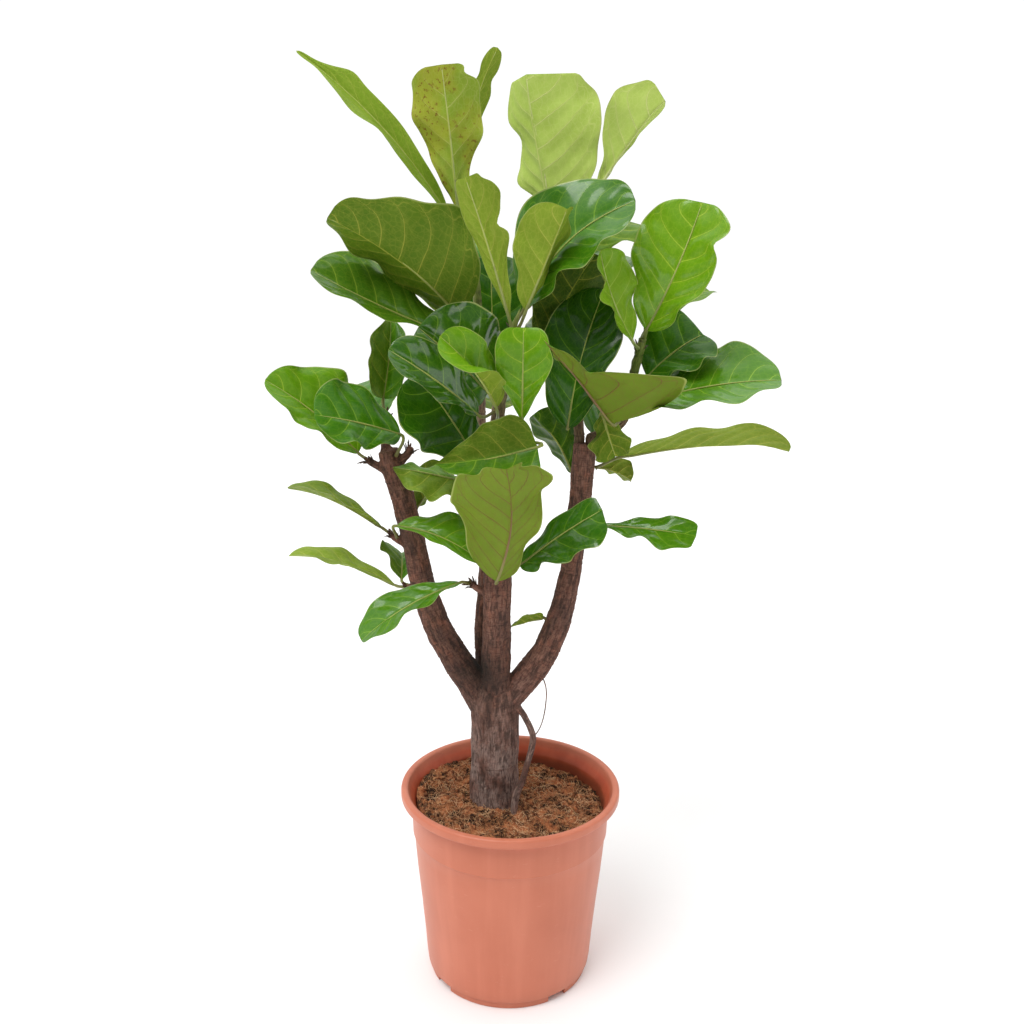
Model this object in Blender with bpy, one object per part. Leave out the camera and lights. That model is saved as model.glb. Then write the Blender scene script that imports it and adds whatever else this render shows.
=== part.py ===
"""Potted fiddle leaf fig: a pruned trunk with four limbs, leafy shoots, large leaves, soil and a pot.

Metres, +Z up, front towards -Y. The origin is the middle of the pot's underside, so the pot stands on z = 0.
The plant's own measures are written in centimetres, as a gardener would take them, and turned into metres
where a mesh is made. Each leaf is one solid, its stalk and its blade, and stands a hair clear of its twig.
"""

import math

import bmesh
import bpy
import numpy as np

CM = 0.01
GAP = 0.03  # clearance between touching pieces, cm

# Pot
POT_SIDES = 48
POT_HEIGHT = 24.7
RIM_RADIUS = 13.5
RIM_INNER_RADIUS = 12.45
RIM_DEPTH = 1.1
WALL = 0.4
STEP_HEIGHT = 18.9  # the faint step under the collar
FOOT_RADIUS = 9.95
FOOT_HEIGHT = 0.9
FLOOR_THICKNESS = 1.6
NOTCH_COUNT = 4
NOTCH_FIRST = 37.0  # degrees from +X
NOTCH_WIDTH = 2.6
NOTCH_INNER_REACH = 6.0

# Soil
SOIL_LEVEL = 22.1
SOIL_RADIUS = 11.55
SOIL_RINGS = 5

# Wood
STUMP_BURIED_TO = 16.0
LIMB_SIDES = 16
SHOOT_SIDES = 10
SHOOT_COLLAR = 0.6
ROOT_SIDES = 8

# Leaves
STALK_RADIUS = 0.2
MOST_SIDE_RISE = 0.64  # cosine of the least angle between a stalk and the twig it grows on
LEAST_END_RISE = 0.6
STALK_RINGS = 4
BLADE_STATIONS = (0.05, 0.13, 0.25, 0.38, 0.52, 0.65, 0.77, 0.87, 0.95)
EDGE_ORDER = (-1.0, -0.5, 0.0, 0.5, 1.0, 0.5, 0.0, -0.5)
UPPER_THICKNESS = 0.06
LOWER_THICKNESS = 0.07
KEEL_DEPTH = 0.2
FIDDLE_WAIST = 0.18
WAIST_PLACE = 0.27
WAIST_LENGTH = 0.13

# Centre lines of the wood, each point as x, y, z and radius, all in cm.
STUMP = (
    (-2.0, 0.5, STUMP_BURIED_TO, 3.1), (-2.0, 0.5, 21.0, 3.3), (-2.0, 0.4, 23.5, 3.05),
    (-2.0, 0.2, 30.0, 2.95), (-2.0, 0.0, 35.5, 2.95), (-2.0, 0.0, 37.8, 2.5), (-2.0, 0.0, 39.2, 1.5),
)
LEFT_LIMB = (
    (-2.9, 0.0, 34.5, 1.9), (-4.6, 0.0, 38.2, 1.9), (-6.7, 0.0, 41.5, 1.8), (-9.0, 0.0, 45.9, 1.6),
    (-10.6, 0.0, 50.9, 1.42), (-11.7, 0.0, 55.8, 1.35), (-12.8, 0.0, 60.6, 1.35), (-14.0, 0.0, 64.6, 1.3),
    (-14.5, 0.0, 66.5, 1.2),
)
CENTRE_LIMB = (
    (-2.0, -0.5, 35.0, 2.0), (-1.9, -1.2, 40.0, 1.75), (-1.8, -2.0, 45.0, 1.65), (-1.8, -2.5, 52.0, 1.6),
    (-2.0, -2.0, 60.0, 1.55), (-2.2, -1.0, 67.0, 1.4),
)
BACK_LIMB = (
    (-2.6, 1.2, 34.5, 1.4), (-3.7, 3.6, 42.0, 1.3), (-3.6, 6.8, 50.0, 1.25), (-3.4, 9.8, 58.0, 1.25),
    (-3.5, 11.8, 64.0, 1.2),
)
RIGHT_LIMB = (
    (-0.9, 0.0, 35.3, 1.8), (1.2, -0.3, 38.2, 1.7), (3.2, -0.5, 40.6, 1.55), (4.7, -0.2, 43.3, 1.5),
    (5.7, 0.0, 46.1, 1.4), (6.6, 0.0, 51.1, 1.3), (7.2, 0.0, 56.0, 1.28), (7.7, 0.0, 61.0, 1.28),
    (8.1, 0.0, 67.5, 1.3),
)
SPURS = {
    "left_low_spur": ((-10.3, 0.0, 49.6, 0.5), (-12.0, 0.0, 49.9, 0.45), (-12.7, 0.0, 50.0, 0.35)),
    "left_mid_spur": ((-11.8, 0.0, 55.0, 0.5), (-13.6, 0.0, 55.9, 0.45), (-14.3, 0.0, 56.5, 0.35)),
    "left_high_spur": ((-13.8, 0.0, 63.6, 0.55), (-16.0, 0.3, 64.7, 0.45), (-17.0, 0.4, 65.3, 0.4)),
    "left_top_spur": ((-14.6, 0.3, 65.5, 0.6), (-15.0, 1.0, 68.2, 0.5), (-15.0, 2.0, 70.3, 0.4)),
    "left_side_stub": ((-14.0, 0.0, 64.2, 0.6), (-12.3, -0.1, 66.0, 0.5), (-11.8, -0.1, 66.9, 0.45)),
    "centre_spur": ((-2.4, -2.4, 50.0, 0.5), (-4.0, -2.7, 50.8, 0.42), (-4.9, -3.0, 51.6, 0.35)),
}
AERIAL_ROOT = (
    (0.2, -0.9, 35.9, 0.45), (1.5, -1.5, 34.5, 0.42), (2.6, -2.0, 32.2, 0.4), (2.5, -2.1, 30.4, 0.4),
    (2.0, -2.3, 28.4, 0.4), (1.4, -2.6, 26.2, 0.42), (0.6, -2.9, 24.0, 0.48), (0.3, -3.1, 19.0, 0.4),
)
HAIR_ROOT = (
    (3.1, -0.6, 40.0, 0.1), (3.9, -1.3, 38.8, 0.08), (4.2, -1.5, 37.2, 0.07), (4.1, -1.6, 35.6, 0.07),
    (3.8, -1.7, 33.9, 0.07), (3.3, -1.8, 32.6, 0.07), (2.6, -2.0, 31.7, 0.09),
)
# Each shoot stands on the cut end of a limb, moved right and back from the cut's middle, and then runs on.
SHOOTS = {
    "left_shoot": ("back_limb", (-0.62, -0.1), 0.58, (
        (-4.1, 10.4, 68.0, 0.58), (-4.1, 7.0, 73.0, 0.55), (-4.2, 3.6, 78.5, 0.52),
        (-4.6, 2.3, 86.0, 0.48), (-6.0, 2.0, 91.0, 0.42),
    )),
    "back_shoot": ("back_limb", (0.62, 0.1), 0.55, (
        (-2.4, 13.4, 68.5, 0.55), (-1.2, 13.8, 75.0, 0.5), (0.2, 12.8, 82.5, 0.4),
    )),
    "centre_shoot": ("centre_limb", (0.0, 0.0), 0.7, (
        (-1.9, -0.9, 70.5, 0.66), (-1.2, -1.8, 75.0, 0.58), (-0.2, -2.9, 80.8, 0.45),
    )),
    "top_shoot": ("right_limb", (-0.68, 0.2), 0.6, (
        (7.2, 1.2, 71.0, 0.58), (6.3, 3.6, 78.0, 0.52), (6.3, 4.4, 85.0, 0.46), (7.2, 4.6, 91.5, 0.4),
    )),
    "right_shoot": ("right_limb", (0.68, -0.1), 0.62, (
        (9.8, -0.1, 68.6, 0.6), (12.2, -0.1, 70.2, 0.58), (13.2, -0.4, 75.0, 0.52), (14.1, -1.0, 79.5, 0.42),
    )),
}

# One row for each leaf: its twig, the height on the twig where its stalk starts, the base and tip of its
# blade, the way its upper side faces, and the half widths left and right of the midrib (seen from above, base
# towards the reader). What follows bends the blade: fold and cup of each half in degrees, arch and sway as
# parts of the length, twist in degrees, and body, whose two powers set how full the base and the tip are.
LEAVES = {}


def leaf(name, twig, height, base, tip, faces, halves, **shape):
    LEAVES[name] = dict(twig=twig, height=height, base=base, tip=tip, faces=faces, halves=halves, **shape)


# Upper left
leaf("leaf_01", "left_shoot", 90.0, (-7.5, 2, 92.3), (-23.4, 0, 109), (0.7, -0.1, 0.7), (1.9, 1.9),
     fold=(50, 45), arch=0.065, body=(0.7, 0.75))
leaf("leaf_02", "left_shoot", 91.5, (-6.4, 0, 93), (-8, -2, 107.5), (0.1, 1, 0.2), (4, 4),
     fold=(25, 15), arch=0.03, body=(0.9, 0.3))
leaf("leaf_03", "left_shoot", 89.0, (-6.5, 3.9, 94.2), (-2.3, 5, 110.5), (-0.3, 0.9, 0.2), (1.3, 1.1),
     fold=(10, 10), arch=0.03, body=(0.9, 0.35))
leaf("leaf_04", "left_shoot", 80.0, (-6.5, -1, 82), (-19.5, -6, 92), (0.3, 0.9, 0.4), (6.1, 5),
     fold=(8, 25), arch=0.03, sway=-0.05, body=(0.5, 0.4))
leaf("leaf_05", "left_shoot", 78.0, (-7, -1.6, 79.7), (-22, -3.5, 86.2), (-0.1, -0.45, 0.9), (4, 5.5),
     arch=-0.02)
leaf("leaf_06", "left_shoot", 76.0, (-2.6, 5.8, 78.5), (-3, 8, 88), (0, -0.9, 0.3), (3.5, 3.5))
# Upper middle
leaf("leaf_07", "centre_shoot", 79.2, (-0.6, -5, 81.5), (-5.2, -9, 95.9), (0.2, 0.9, 0.3), (3.2, 2),
     fold=(45, 20), arch=0.03, body=(1, 0.25))
leaf("leaf_08", "centre_shoot", 81.5, (1, -2, 83), (12.2, -6, 94), (-0.15, -0.7, 0.7), (5.8, 4.8),
     fold=(8, 10), arch=0.08, sway=-0.08, body=(0.6, 0.45))
leaf("leaf_09", "centre_shoot", 80.2, (1.1, -4.8, 82.7), (5, -9.5, 93), (0.2, 0.9, 0.3), (3, 4.2),
     fold=(75, 5), arch=0.05)
leaf("leaf_10", "centre_shoot", 70.5, (0.8, -5.5, 71), (0.8, -9, 81), (0, -1, 0.2), (3.1, 3.1),
     fold=(12, 12), arch=0.05, body=(1, 0.3))
leaf("leaf_11", "centre_shoot", 69.5, (-2, -6.2, 72.4), (-7.6, -12.5, 80.5), (0.6, -0.7, 0.3), (3.3, 2.7),
     arch=0.08)
leaf("leaf_12", "centre_shoot", 73.0, (-3, -2.9, 74.2), (-10.3, -6.4, 80.4), (0.2, -0.9, 0.4), (4.5, 4.5),
     arch=0.05)
leaf("leaf_13", "centre_shoot", 71.3, (-4, -5.4, 71.5), (-12.9, -11.5, 79), (0.1, -0.8, 0.5), (2, 3.2),
     arch=0.05)
leaf("leaf_14", "centre_shoot", 69.0, (-4.8, -2.8, 66.9), (-10.8, -4.2, 76), (0.3, -0.8, 0.5), (6.3, 3.6),
     arch=0.04, body=(0.5, 0.35))
leaf("leaf_15", "centre_shoot", 68.0, (2.5, -7, 68.3), (-8.5, -10, 69.5), (0.1, 0.75, -0.45), (4, 5),
     fold=(-20, -20), arch=0.1, body=(0.4, 0.6))
leaf("leaf_16", "centre_limb", 64.0, (-4.9, -3, 63.4), (-13.5, -4, 65.3), (0, 0.3, 1), (3.4, 2.4),
     fold=(-55, 20), arch=0.02)
# Top right
leaf("leaf_17", "top_shoot", 85.0, (3.8, 3, 88.5), (-0.3, 5.5, 107), (-0.1, 0.95, 0.1), (8, 3.6),
     fold=(0, 60), arch=0.02, sway=-0.06, body=(0.7, 0.2))
leaf("leaf_18", "top_shoot", 92.0, (8.7, 5, 95.2), (16, 7, 105.8), (-0.6, 0.7, 0.1), (2, 4.5),
     fold=(15, 25), arch=0.02, body=(1.3, 0.3))
leaf("leaf_19", "top_shoot", 88.0, (8, 6, 89), (12.2, 9, 92.3), (0, -0.6, 0.8), (3.8, 3.8))
leaf("leaf_20", "top_shoot", 79.0, (3.7, 0.7, 79), (8.6, -1, 88), (-0.2, 0.9, 0.3), (4.5, 4.5))
leaf("leaf_21", "top_shoot", 71.5, (8, -0.3, 73), (10.3, 1.4, 84.8), (-0.3, -0.8, 0.4), (4, 4),
     body=(0.7, 0.5))
# Right
leaf("leaf_22", "right_shoot", 80.0, (14.3, -2.4, 80.6), (19.4, -4, 94), (-0.3, -0.9, 0.25), (5.4, 4.4),
     fold=(6, 15), arch=0.06, sway=0.04, body=(0.65, 0.4))
leaf("leaf_23", "right_shoot", 78.2, (12.7, -3.2, 79.5), (8.8, -5, 89), (0.5, -0.5, 0.3), (3, 3),
     fold=(20, 20), arch=-0.05)
leaf("leaf_24", "right_shoot", 77.0, (15.5, 3.5, 80.5), (23.2, 10, 84.4), (0, -0.4, 0.9), (2.5, 2.5))
leaf("leaf_25", "right_shoot", 74.0, (14.9, 0, 75.2), (21.2, 1.5, 79.5), (-0.3, -0.7, 0.6), (4.5, 4.5))
leaf("leaf_26", "right_shoot", 71.5, (14.3, -2, 72.6), (28.8, -5, 75.6), (0, -0.4, 0.9), (6.2, 6.4),
     fold=(10, 10), arch=0.05)
leaf("leaf_27", "right_limb", 64.0, (12.4, 0, 66), (32, 2, 67.2), (0, 0.45, 0.9), (4.6, 4.6),
     fold=(15, 12), arch=0.03)
leaf("leaf_28", "right_shoot", 70.3, (10.7, -3.5, 70.4), (2.8, -11.5, 80.2), (0.21, 0.67, 0.71), (10, 4),
     fold=(-8, 60), arch=0.02, body=(0.35, 2))
leaf("leaf_29", "right_shoot", 68.4, (10.6, -2.2, 69.2), (11, -4.5, 65.5), (0, 0.8, -0.2), (2.4, 2.4))
leaf("leaf_30", "right_limb", 64.8, (9.8, 2.8, 64.2), (13.5, 2.4, 63), (0, 0.6, 0.7), (2.3, 2.3))
leaf("leaf_31", "right_limb", 62.0, (6.9, 3.2, 63.4), (2.8, 5, 66.5), (0, 0.6, 0.7), (3, 3))
# Low on the limbs
leaf("leaf_32", "right_limb", 45.6, (3.7, -0.3, 46.5), (0.4, -0.9, 45.6), (0, 0.35, 0.9), (2.3, 2.3))
leaf("leaf_33", "centre_limb", 53.0, (0.8, -3.4, 53.9), (9.8, -6, 61.2), (0, -0.6, 0.8), (2.2, 4.2),
     fold=(10, 5), arch=0.04, body=(0.5, 0.22))
leaf("leaf_34", "right_limb", 56.0, (9.8, -1, 58.1), (20.5, -5, 58), (-0.1, -0.4, 0.9), (1.5, 3.4),
     fold=(15, 5), arch=0.03, body=(1.1, 0.2))
leaf("leaf_35", "centre_limb", 51.5, (-1.8, -6.2, 52.8), (-0.8, -15.5, 67.6), (0, 0.95, 0.3), (4, 7),
     fold=(20, 20), arch=0.03, sway=-0.06, body=(0.5, 0.3))
leaf("leaf_36", "left_mid_spur", 55.9, (-13.3, -3, 58.3), (-3.4, -5.2, 54.7), (0, -0.5, 0.9), (3.4, 1.7),
     arch=0.12)
leaf("leaf_37", "left_limb", 57.5, (-11.4, 2.6, 59.2), (-7.6, 4, 62.6), (0, 0.6, 0.7), (3, 3))
leaf("leaf_38", "left_mid_spur", 57.0, (-15.4, 0.3, 57.2), (-26, 0, 62.6), (0.2, 0.12, 0.95), (3.5, 3.5),
     fold=(12, 12), arch=0.05)
leaf("leaf_39", "left_low_spur", 50.5, (-13.8, -0.3, 50.3), (-26.2, 0, 54.2), (0.2, 0.08, 0.95), (3.5, 3.5),
     fold=(8, 8), arch=0.05)
leaf("leaf_40", "left_low_spur", 49.8, (-13.4, 2.4, 50.2), (-14, 8.4, 51.8), (0.2, -0.8, 0.6), (3, 3),
     fold=(30, 30))
leaf("leaf_41", "centre_spur", 52.0, (-6, -4.2, 52), (-16.9, -8, 46.3), (-0.3, -0.4, 0.9), (3.4, 3.1),
     fold=(15, 10), arch=0.07)
# Left
leaf("leaf_42", "left_high_spur", 66.0, (-18, 0.6, 66), (-28, -1, 74.5), (0.2, -0.7, 0.7), (3.5, 5.4),
     fold=(25, 5), arch=0.03, sway=0.03, body=(0.6, 0.6))
leaf("leaf_43", "left_limb", 64.6, (-12.7, -2.8, 68.8), (-21.3, -8, 71.7), (0, -0.65, 0.75), (3.8, 5.2),
     fold=(0, 8), arch=0.04, body=(0.6, 0.4))
leaf("leaf_44", "left_top_spur", 71.0, (-15.3, 3.2, 72), (-15.2, 6, 79.5), (0.3, -0.7, 0.3), (4, 2.7),
     fold=(30, 40), body=(0.5, 0.8))
leaf("leaf_45", "left_top_spur", 69.0, (-15.8, 4, 69.5), (-20.5, 14, 72), (0.1, -0.2, 1), (4.5, 4.5),
     arch=0.08)
# Back
leaf("leaf_46", "back_shoot", 81.0, (2, 15, 82.5), (8.5, 24, 92.5), (-0.4, -0.5, 0.75), (5.5, 5.5),
     arch=0.08)
leaf("leaf_47", "back_shoot", 79.0, (-2.6, 15.5, 80.2), (-11.5, 21, 89.5), (0.4, -0.5, 0.8), (5.5, 5.5),
     arch=0.08)
leaf("leaf_48", "back_shoot", 75.0, (0.8, 16.3, 75.6), (10.5, 26, 77), (0, -0.2, 1), (6, 6),
     arch=0.1)
leaf("leaf_49", "back_shoot", 72.5, (-4, 15.5, 73.4), (-16.5, 20, 73), (0, -0.2, 1), (5.5, 5.5),
     arch=0.08)
leaf("leaf_50", "back_shoot", 69.5, (-1.8, 16.4, 69.6), (-2.5, 31, 66.5), (0, 0.2, 1), (6, 6),
     arch=0.1)
leaf("leaf_51", "right_limb", 65.0, (9.3, 3.6, 68), (17, 17, 70.5), (-0.1, -0.2, 1), (5.5, 5.5),
     arch=0.08)
leaf("leaf_52", "top_shoot", 82.0, (7.6, 7, 83), (15, 18, 88), (-0.3, -0.4, 0.85), (5, 5),
     arch=0.08)


def unit(vector):
    vector = np.asarray(vector, float)
    return vector / np.linalg.norm(vector)


def new_material(name, colour, roughness):
    material = bpy.data.materials.new(name)
    material.use_nodes = True
    shader = material.node_tree.nodes["Principled BSDF"]
    shader.inputs["Base Color"].default_value = (*colour, 1.0)
    shader.inputs["Roughness"].default_value = roughness
    shader.inputs["Metallic"].default_value = 0.0
    material.diffuse_color = (*colour, 1.0)
    return material


def add_object(name, mesh, collection, material=None):
    mesh.name = name
    node = bpy.data.objects.new(name, mesh)
    collection.objects.link(node)
    if material:
        mesh.materials.clear()
        mesh.materials.append(material)
        mesh.shade_smooth()
        mesh.set_sharp_from_angle(angle=math.radians(40))
    return node


def mesh_from(shape):
    mesh = bpy.data.meshes.new("shape")
    shape.to_mesh(mesh)
    shape.free()
    return mesh


def as_cutter(node):
    node.hide_render = True
    node.display_type = "WIRE"
    return node


def bake(node):
    """Replace a node's curve or modifiers with the plain mesh they make, its caps welded on."""
    graph = bpy.context.evaluated_depsgraph_get()
    mesh = bpy.data.meshes.new_from_object(node.evaluated_get(graph))
    shape = bmesh.new()
    shape.from_mesh(mesh)
    bmesh.ops.remove_doubles(shape, verts=shape.verts, dist=1e-6)
    bmesh.ops.recalc_face_normals(shape, faces=shape.faces)
    shape.to_mesh(mesh)
    shape.free()
    return mesh


def tube(name, points, sides, collection, extra=0.0):
    """A round stem along points of x, y, z and radius in cm, closed at both ends, as a plain mesh object."""
    curve = bpy.data.curves.new(name, "CURVE")
    curve.dimensions = "3D"
    curve.bevel_depth = CM
    curve.bevel_resolution = sides // 2 - 2
    curve.use_fill_caps = True
    spline = curve.splines.new("POLY")
    spline.points.add(len(points) - 1)
    for point, (x, y, z, radius) in zip(spline.points, points):
        point.co = (x * CM, y * CM, z * CM, 1.0)
        point.radius = radius + extra
    guide = bpy.data.objects.new(name + "_line", curve)
    collection.objects.link(guide)
    mesh = bake(guide)
    bpy.data.objects.remove(guide)
    return add_object(name, mesh, collection)


def combine(node, other, operation):
    modifier = node.modifiers.new(operation.title(), "BOOLEAN")
    modifier.operation = operation
    modifier.solver = "EXACT"
    modifier.object = other


def smooth_line(points, pieces=3):
    """More points on a centre line, on a smooth curve through the given ones."""
    line = np.array(points, float)
    ends = np.vstack([2 * line[0] - line[1], line, 2 * line[-1] - line[-2]])
    result = []
    for a, b, c, d in zip(ends, ends[1:], ends[2:], ends[3:]):
        for step in range(pieces):
            t = step / pieces
            result.append(0.5 * (2 * b + (c - a) * t + (2 * a - 5 * b + 4 * c - d) * t**2
                                 + (3 * b - a - 3 * c + d) * t**3))
    return [*map(tuple, result), tuple(line[-1])]


def make_pot(collection, cutters):
    """The wall and its rim are one turned profile, then the drainage channels are cut through the foot."""
    rim = [
        (RIM_RADIUS - RIM_DEPTH / 2 + RIM_DEPTH / 2 * math.cos(a), POT_HEIGHT - RIM_DEPTH / 2
         + RIM_DEPTH / 2 * math.sin(a))
        for a in np.radians([150, 110, 70, 30, -10, -50])
    ]
    outside = [
        (12.2, POT_HEIGHT - RIM_DEPTH - 0.1), (12.05, STEP_HEIGHT + 0.1), (11.88, STEP_HEIGHT - 0.1),
        (11.5, 13.9), (11.05, 9.6), (10.65, 5.3), (10.4, 2.0), (10.25, FOOT_HEIGHT + 0.1),
        (FOOT_RADIUS, FOOT_HEIGHT), (FOOT_RADIUS, 0.0),
    ]
    inside = [
        (9.7, FLOOR_THICKNESS), (10.65 - WALL, 5.3), (11.5 - WALL, 13.9), (12.0 - WALL, 20.0),
        (12.1 - WALL, 22.9), (RIM_INNER_RADIUS, POT_HEIGHT - 0.9),
    ]
    profile = [*rim, *outside, (0.0, 0.0)]
    back = [(0.0, FLOOR_THICKNESS), *inside]
    shape = bmesh.new()
    line = [shape.verts.new((r * CM, 0.0, z * CM)) for r, z in profile + back]
    for first, second in zip(line, line[1:] + line[:1]):
        shape.edges.new((first, second))
    bmesh.ops.spin(
        shape, geom=shape.verts[:] + shape.edges[:], axis=(0, 0, 1), cent=(0, 0, 0),
        steps=POT_SIDES, angle=math.tau, use_merge=True,
    )
    bmesh.ops.remove_doubles(shape, verts=shape.verts, dist=1e-6)
    bmesh.ops.dissolve_degenerate(shape, edges=shape.edges, dist=1e-6)
    bmesh.ops.recalc_face_normals(shape, faces=shape.faces)
    pot = add_object("pot", mesh_from(shape), collection, new_material("terracotta", (0.6, 0.2, 0.12), 0.5))
    for index in range(NOTCH_COUNT):
        angle = math.radians(NOTCH_FIRST + index * 360 / NOTCH_COUNT)
        length = RIM_RADIUS - NOTCH_INNER_REACH
        middle = NOTCH_INNER_REACH + length / 2
        channel = bmesh.new()
        bmesh.ops.create_cube(channel, size=1.0)
        size = (length * CM, NOTCH_WIDTH * CM, 2 * FOOT_HEIGHT * CM)
        bmesh.ops.scale(channel, verts=channel.verts, vec=size)
        cutter = as_cutter(add_object(f"channel_{index + 1}", mesh_from(channel), cutters))
        cutter.location = (middle * math.cos(angle) * CM, middle * math.sin(angle) * CM, 0)
        cutter.rotation_euler[2] = angle
        combine(pot, cutter, "DIFFERENCE")
    return pot


def soil_height(x, y):
    """The soil slopes down to the right and banks up against the wall at the back left, with low mounds."""
    slope = -0.075 * x - 0.025 * y
    bank = 0.4 * max(0.0, (-0.8 * x + 0.6 * y) / 11.5) ** 2
    return SOIL_LEVEL + slope + bank + 0.15 * math.sin(0.9 * x + 1.0) * math.cos(0.8 * y)


def make_soil(collection, cutters):
    """A disc of soil inside the wall, its top shaped by rings, with sockets for the stump and the root."""
    shape = bmesh.new()
    rings = [
        (9.7 - GAP, FLOOR_THICKNESS + GAP), (10.25 - GAP, 5.3), (11.1 - GAP, 13.9),
        (11.6 - GAP, SOIL_LEVEL - 1.2),
    ]
    line = [shape.verts.new((0, 0, rings[0][1] * CM))]
    line += [shape.verts.new((r * CM, 0, z * CM)) for r, z in rings]
    for index in range(SOIL_RINGS, -1, -1):
        line.append(shape.verts.new((SOIL_RADIUS * index / SOIL_RINGS * CM, 0, SOIL_LEVEL * CM)))
    for first, second in zip(line, line[1:]):
        shape.edges.new((first, second))
    bmesh.ops.spin(
        shape, geom=shape.verts[:] + shape.edges[:], axis=(0, 0, 1), cent=(0, 0, 0),
        steps=POT_SIDES // 2, angle=math.tau, use_merge=True,
    )
    bmesh.ops.remove_doubles(shape, verts=shape.verts, dist=1e-6)
    bmesh.ops.recalc_face_normals(shape, faces=shape.faces)
    for vert in shape.verts:
        if abs(vert.co.z - SOIL_LEVEL * CM) < 1e-6:
            vert.co.z = soil_height(vert.co.x / CM, vert.co.y / CM) * CM
    soil = add_object("soil", mesh_from(shape), collection, new_material("soil", (0.1, 0.05, 0.02), 0.95))
    socket = tube("socket", STUMP, LIMB_SIDES, cutters, extra=GAP)
    rootlet = tube("root_socket", smooth_line(AERIAL_ROOT), ROOT_SIDES, cutters, extra=GAP + 0.01)
    for cutter in (socket, rootlet):
        combine(soil, as_cutter(cutter), "DIFFERENCE")
    socket.location.z = -GAP * CM
    rootlet.location.z = -GAP * CM
    return soil


def make_trunk(collection, cutters):
    """The stump, its four limbs, the short spurs and the aerial root grew as one piece of wood."""
    trunk = tube("trunk", STUMP, LIMB_SIDES, collection)
    trunk.data.materials.append(new_material("bark", (0.16, 0.1, 0.07), 0.85))
    pieces = {
        "left_limb": (LEFT_LIMB, LIMB_SIDES), "centre_limb": (CENTRE_LIMB, LIMB_SIDES),
        "back_limb": (BACK_LIMB, LIMB_SIDES), "right_limb": (RIGHT_LIMB, LIMB_SIDES),
        "aerial_root": (smooth_line(AERIAL_ROOT), ROOT_SIDES), "hair_root": (HAIR_ROOT, 6),
    }
    pieces.update((name, (points, SHOOT_SIDES)) for name, points in SPURS.items())
    for name, (points, sides) in pieces.items():
        combine(trunk, as_cutter(tube(name, points, sides, cutters)), "UNION")
    trunk.data.shade_smooth()
    return trunk


def shoot_line(limb, offset, radius, points):
    """A shoot's centre line: straight off the limb's cut end, clear of it by the gap, then on."""
    below, end = np.array(limb[-2][:3]), np.array(limb[-1][:3])
    along = unit(end - below)
    right = unit(np.array([1.0, 0.0, 0.0]) - along * along[0])
    start = end + along * GAP + right * offset[0] + np.cross(along, right) * offset[1]
    collar = start + along * SHOOT_COLLAR
    return [(*start, radius), *smooth_line([(*collar, radius), *points])]


def twig_lines():
    """Every limb, spur and shoot a leaf can grow on, by name, as rows of x, y, z and radius."""
    lines = {
        "left_limb": LEFT_LIMB, "centre_limb": CENTRE_LIMB, "back_limb": BACK_LIMB,
        "right_limb": RIGHT_LIMB, **SPURS,
    }
    for name, (limb, offset, radius, points) in SHOOTS.items():
        lines[name] = shoot_line(lines[limb], offset, radius, points)
    return {name: np.array(points, float) for name, points in lines.items()}


def stalk_start(line, height, target):
    """Where a stalk's first ring goes so that it clears the bark by the gap, and the way it sets off.

    A stalk whose height is above the twig's top stands on its end. Any other leaves the side of the twig, at
    no less than a set angle to it.
    """
    end = line[-1]
    if height > end[2]:
        along = unit((end - line[-2])[:3])
        way = unit(np.array(target) - end[:3])
        rise = max(LEAST_END_RISE, float(way @ along))
        way = unit(way - along * (way @ along)) * math.sqrt(1 - rise**2) + along * rise
        return end[:3] + way * (GAP + STALK_RADIUS * math.sqrt(1 - rise**2)) / rise, way
    above = next(index for index in range(1, len(line)) if line[index][2] >= height)
    low, high = line[above - 1], line[above]
    point = low + (high - low) * (height - low[2]) / (high[2] - low[2])
    along = unit((high - low)[:3])
    way = unit(np.array(target) - point[:3])
    rise = min(MOST_SIDE_RISE, max(-MOST_SIDE_RISE, float(way @ along)))
    across = math.sqrt(1 - rise**2)
    way = unit(way - along * (way @ along)) * across + along * rise
    return point[:3] + way * (point[3] + GAP + STALK_RADIUS * abs(rise)) / across, way


def outline(s, body):
    """Half width along the blade, 1 at its widest, with the narrow waist that gives the fig its name."""
    full_base, full_tip = body
    peak = full_base / (full_base + full_tip)
    width = (s / peak) ** full_base * ((1 - s) / (1 - peak)) ** full_tip
    return width * (1 - FIDDLE_WAIST * math.exp(-(((s - WAIST_PLACE) / WAIST_LENGTH) ** 2)))


def blade_axes(spec, s):
    """The midrib's point, its direction, and the blade's up and side directions at s, 0 base to 1 tip."""
    base, tip = np.array(spec["base"], float), np.array(spec["tip"], float)
    length = np.linalg.norm(tip - base)
    forward = (tip - base) / length
    up = np.array(spec["faces"], float)
    up = unit(up - forward * (up @ forward))
    side = np.cross(forward, up)
    arch, sway = spec.get("arch", 0.1), spec.get("sway", 0.0)
    bend, slope = 4 * s * (1 - s), 4 * (1 - 2 * s)
    middle = base + length * (forward * s + up * arch * bend + side * sway * bend)
    along = unit(forward + up * arch * slope + side * sway * slope)
    normal = unit(up - along * (up @ along))
    across = np.cross(along, normal)
    turn = math.radians(spec.get("twist", 0.0)) * (s - 0.5)
    return (
        middle, along,
        normal * math.cos(turn) + across * math.sin(turn),
        across * math.cos(turn) - normal * math.sin(turn),
    )


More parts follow.
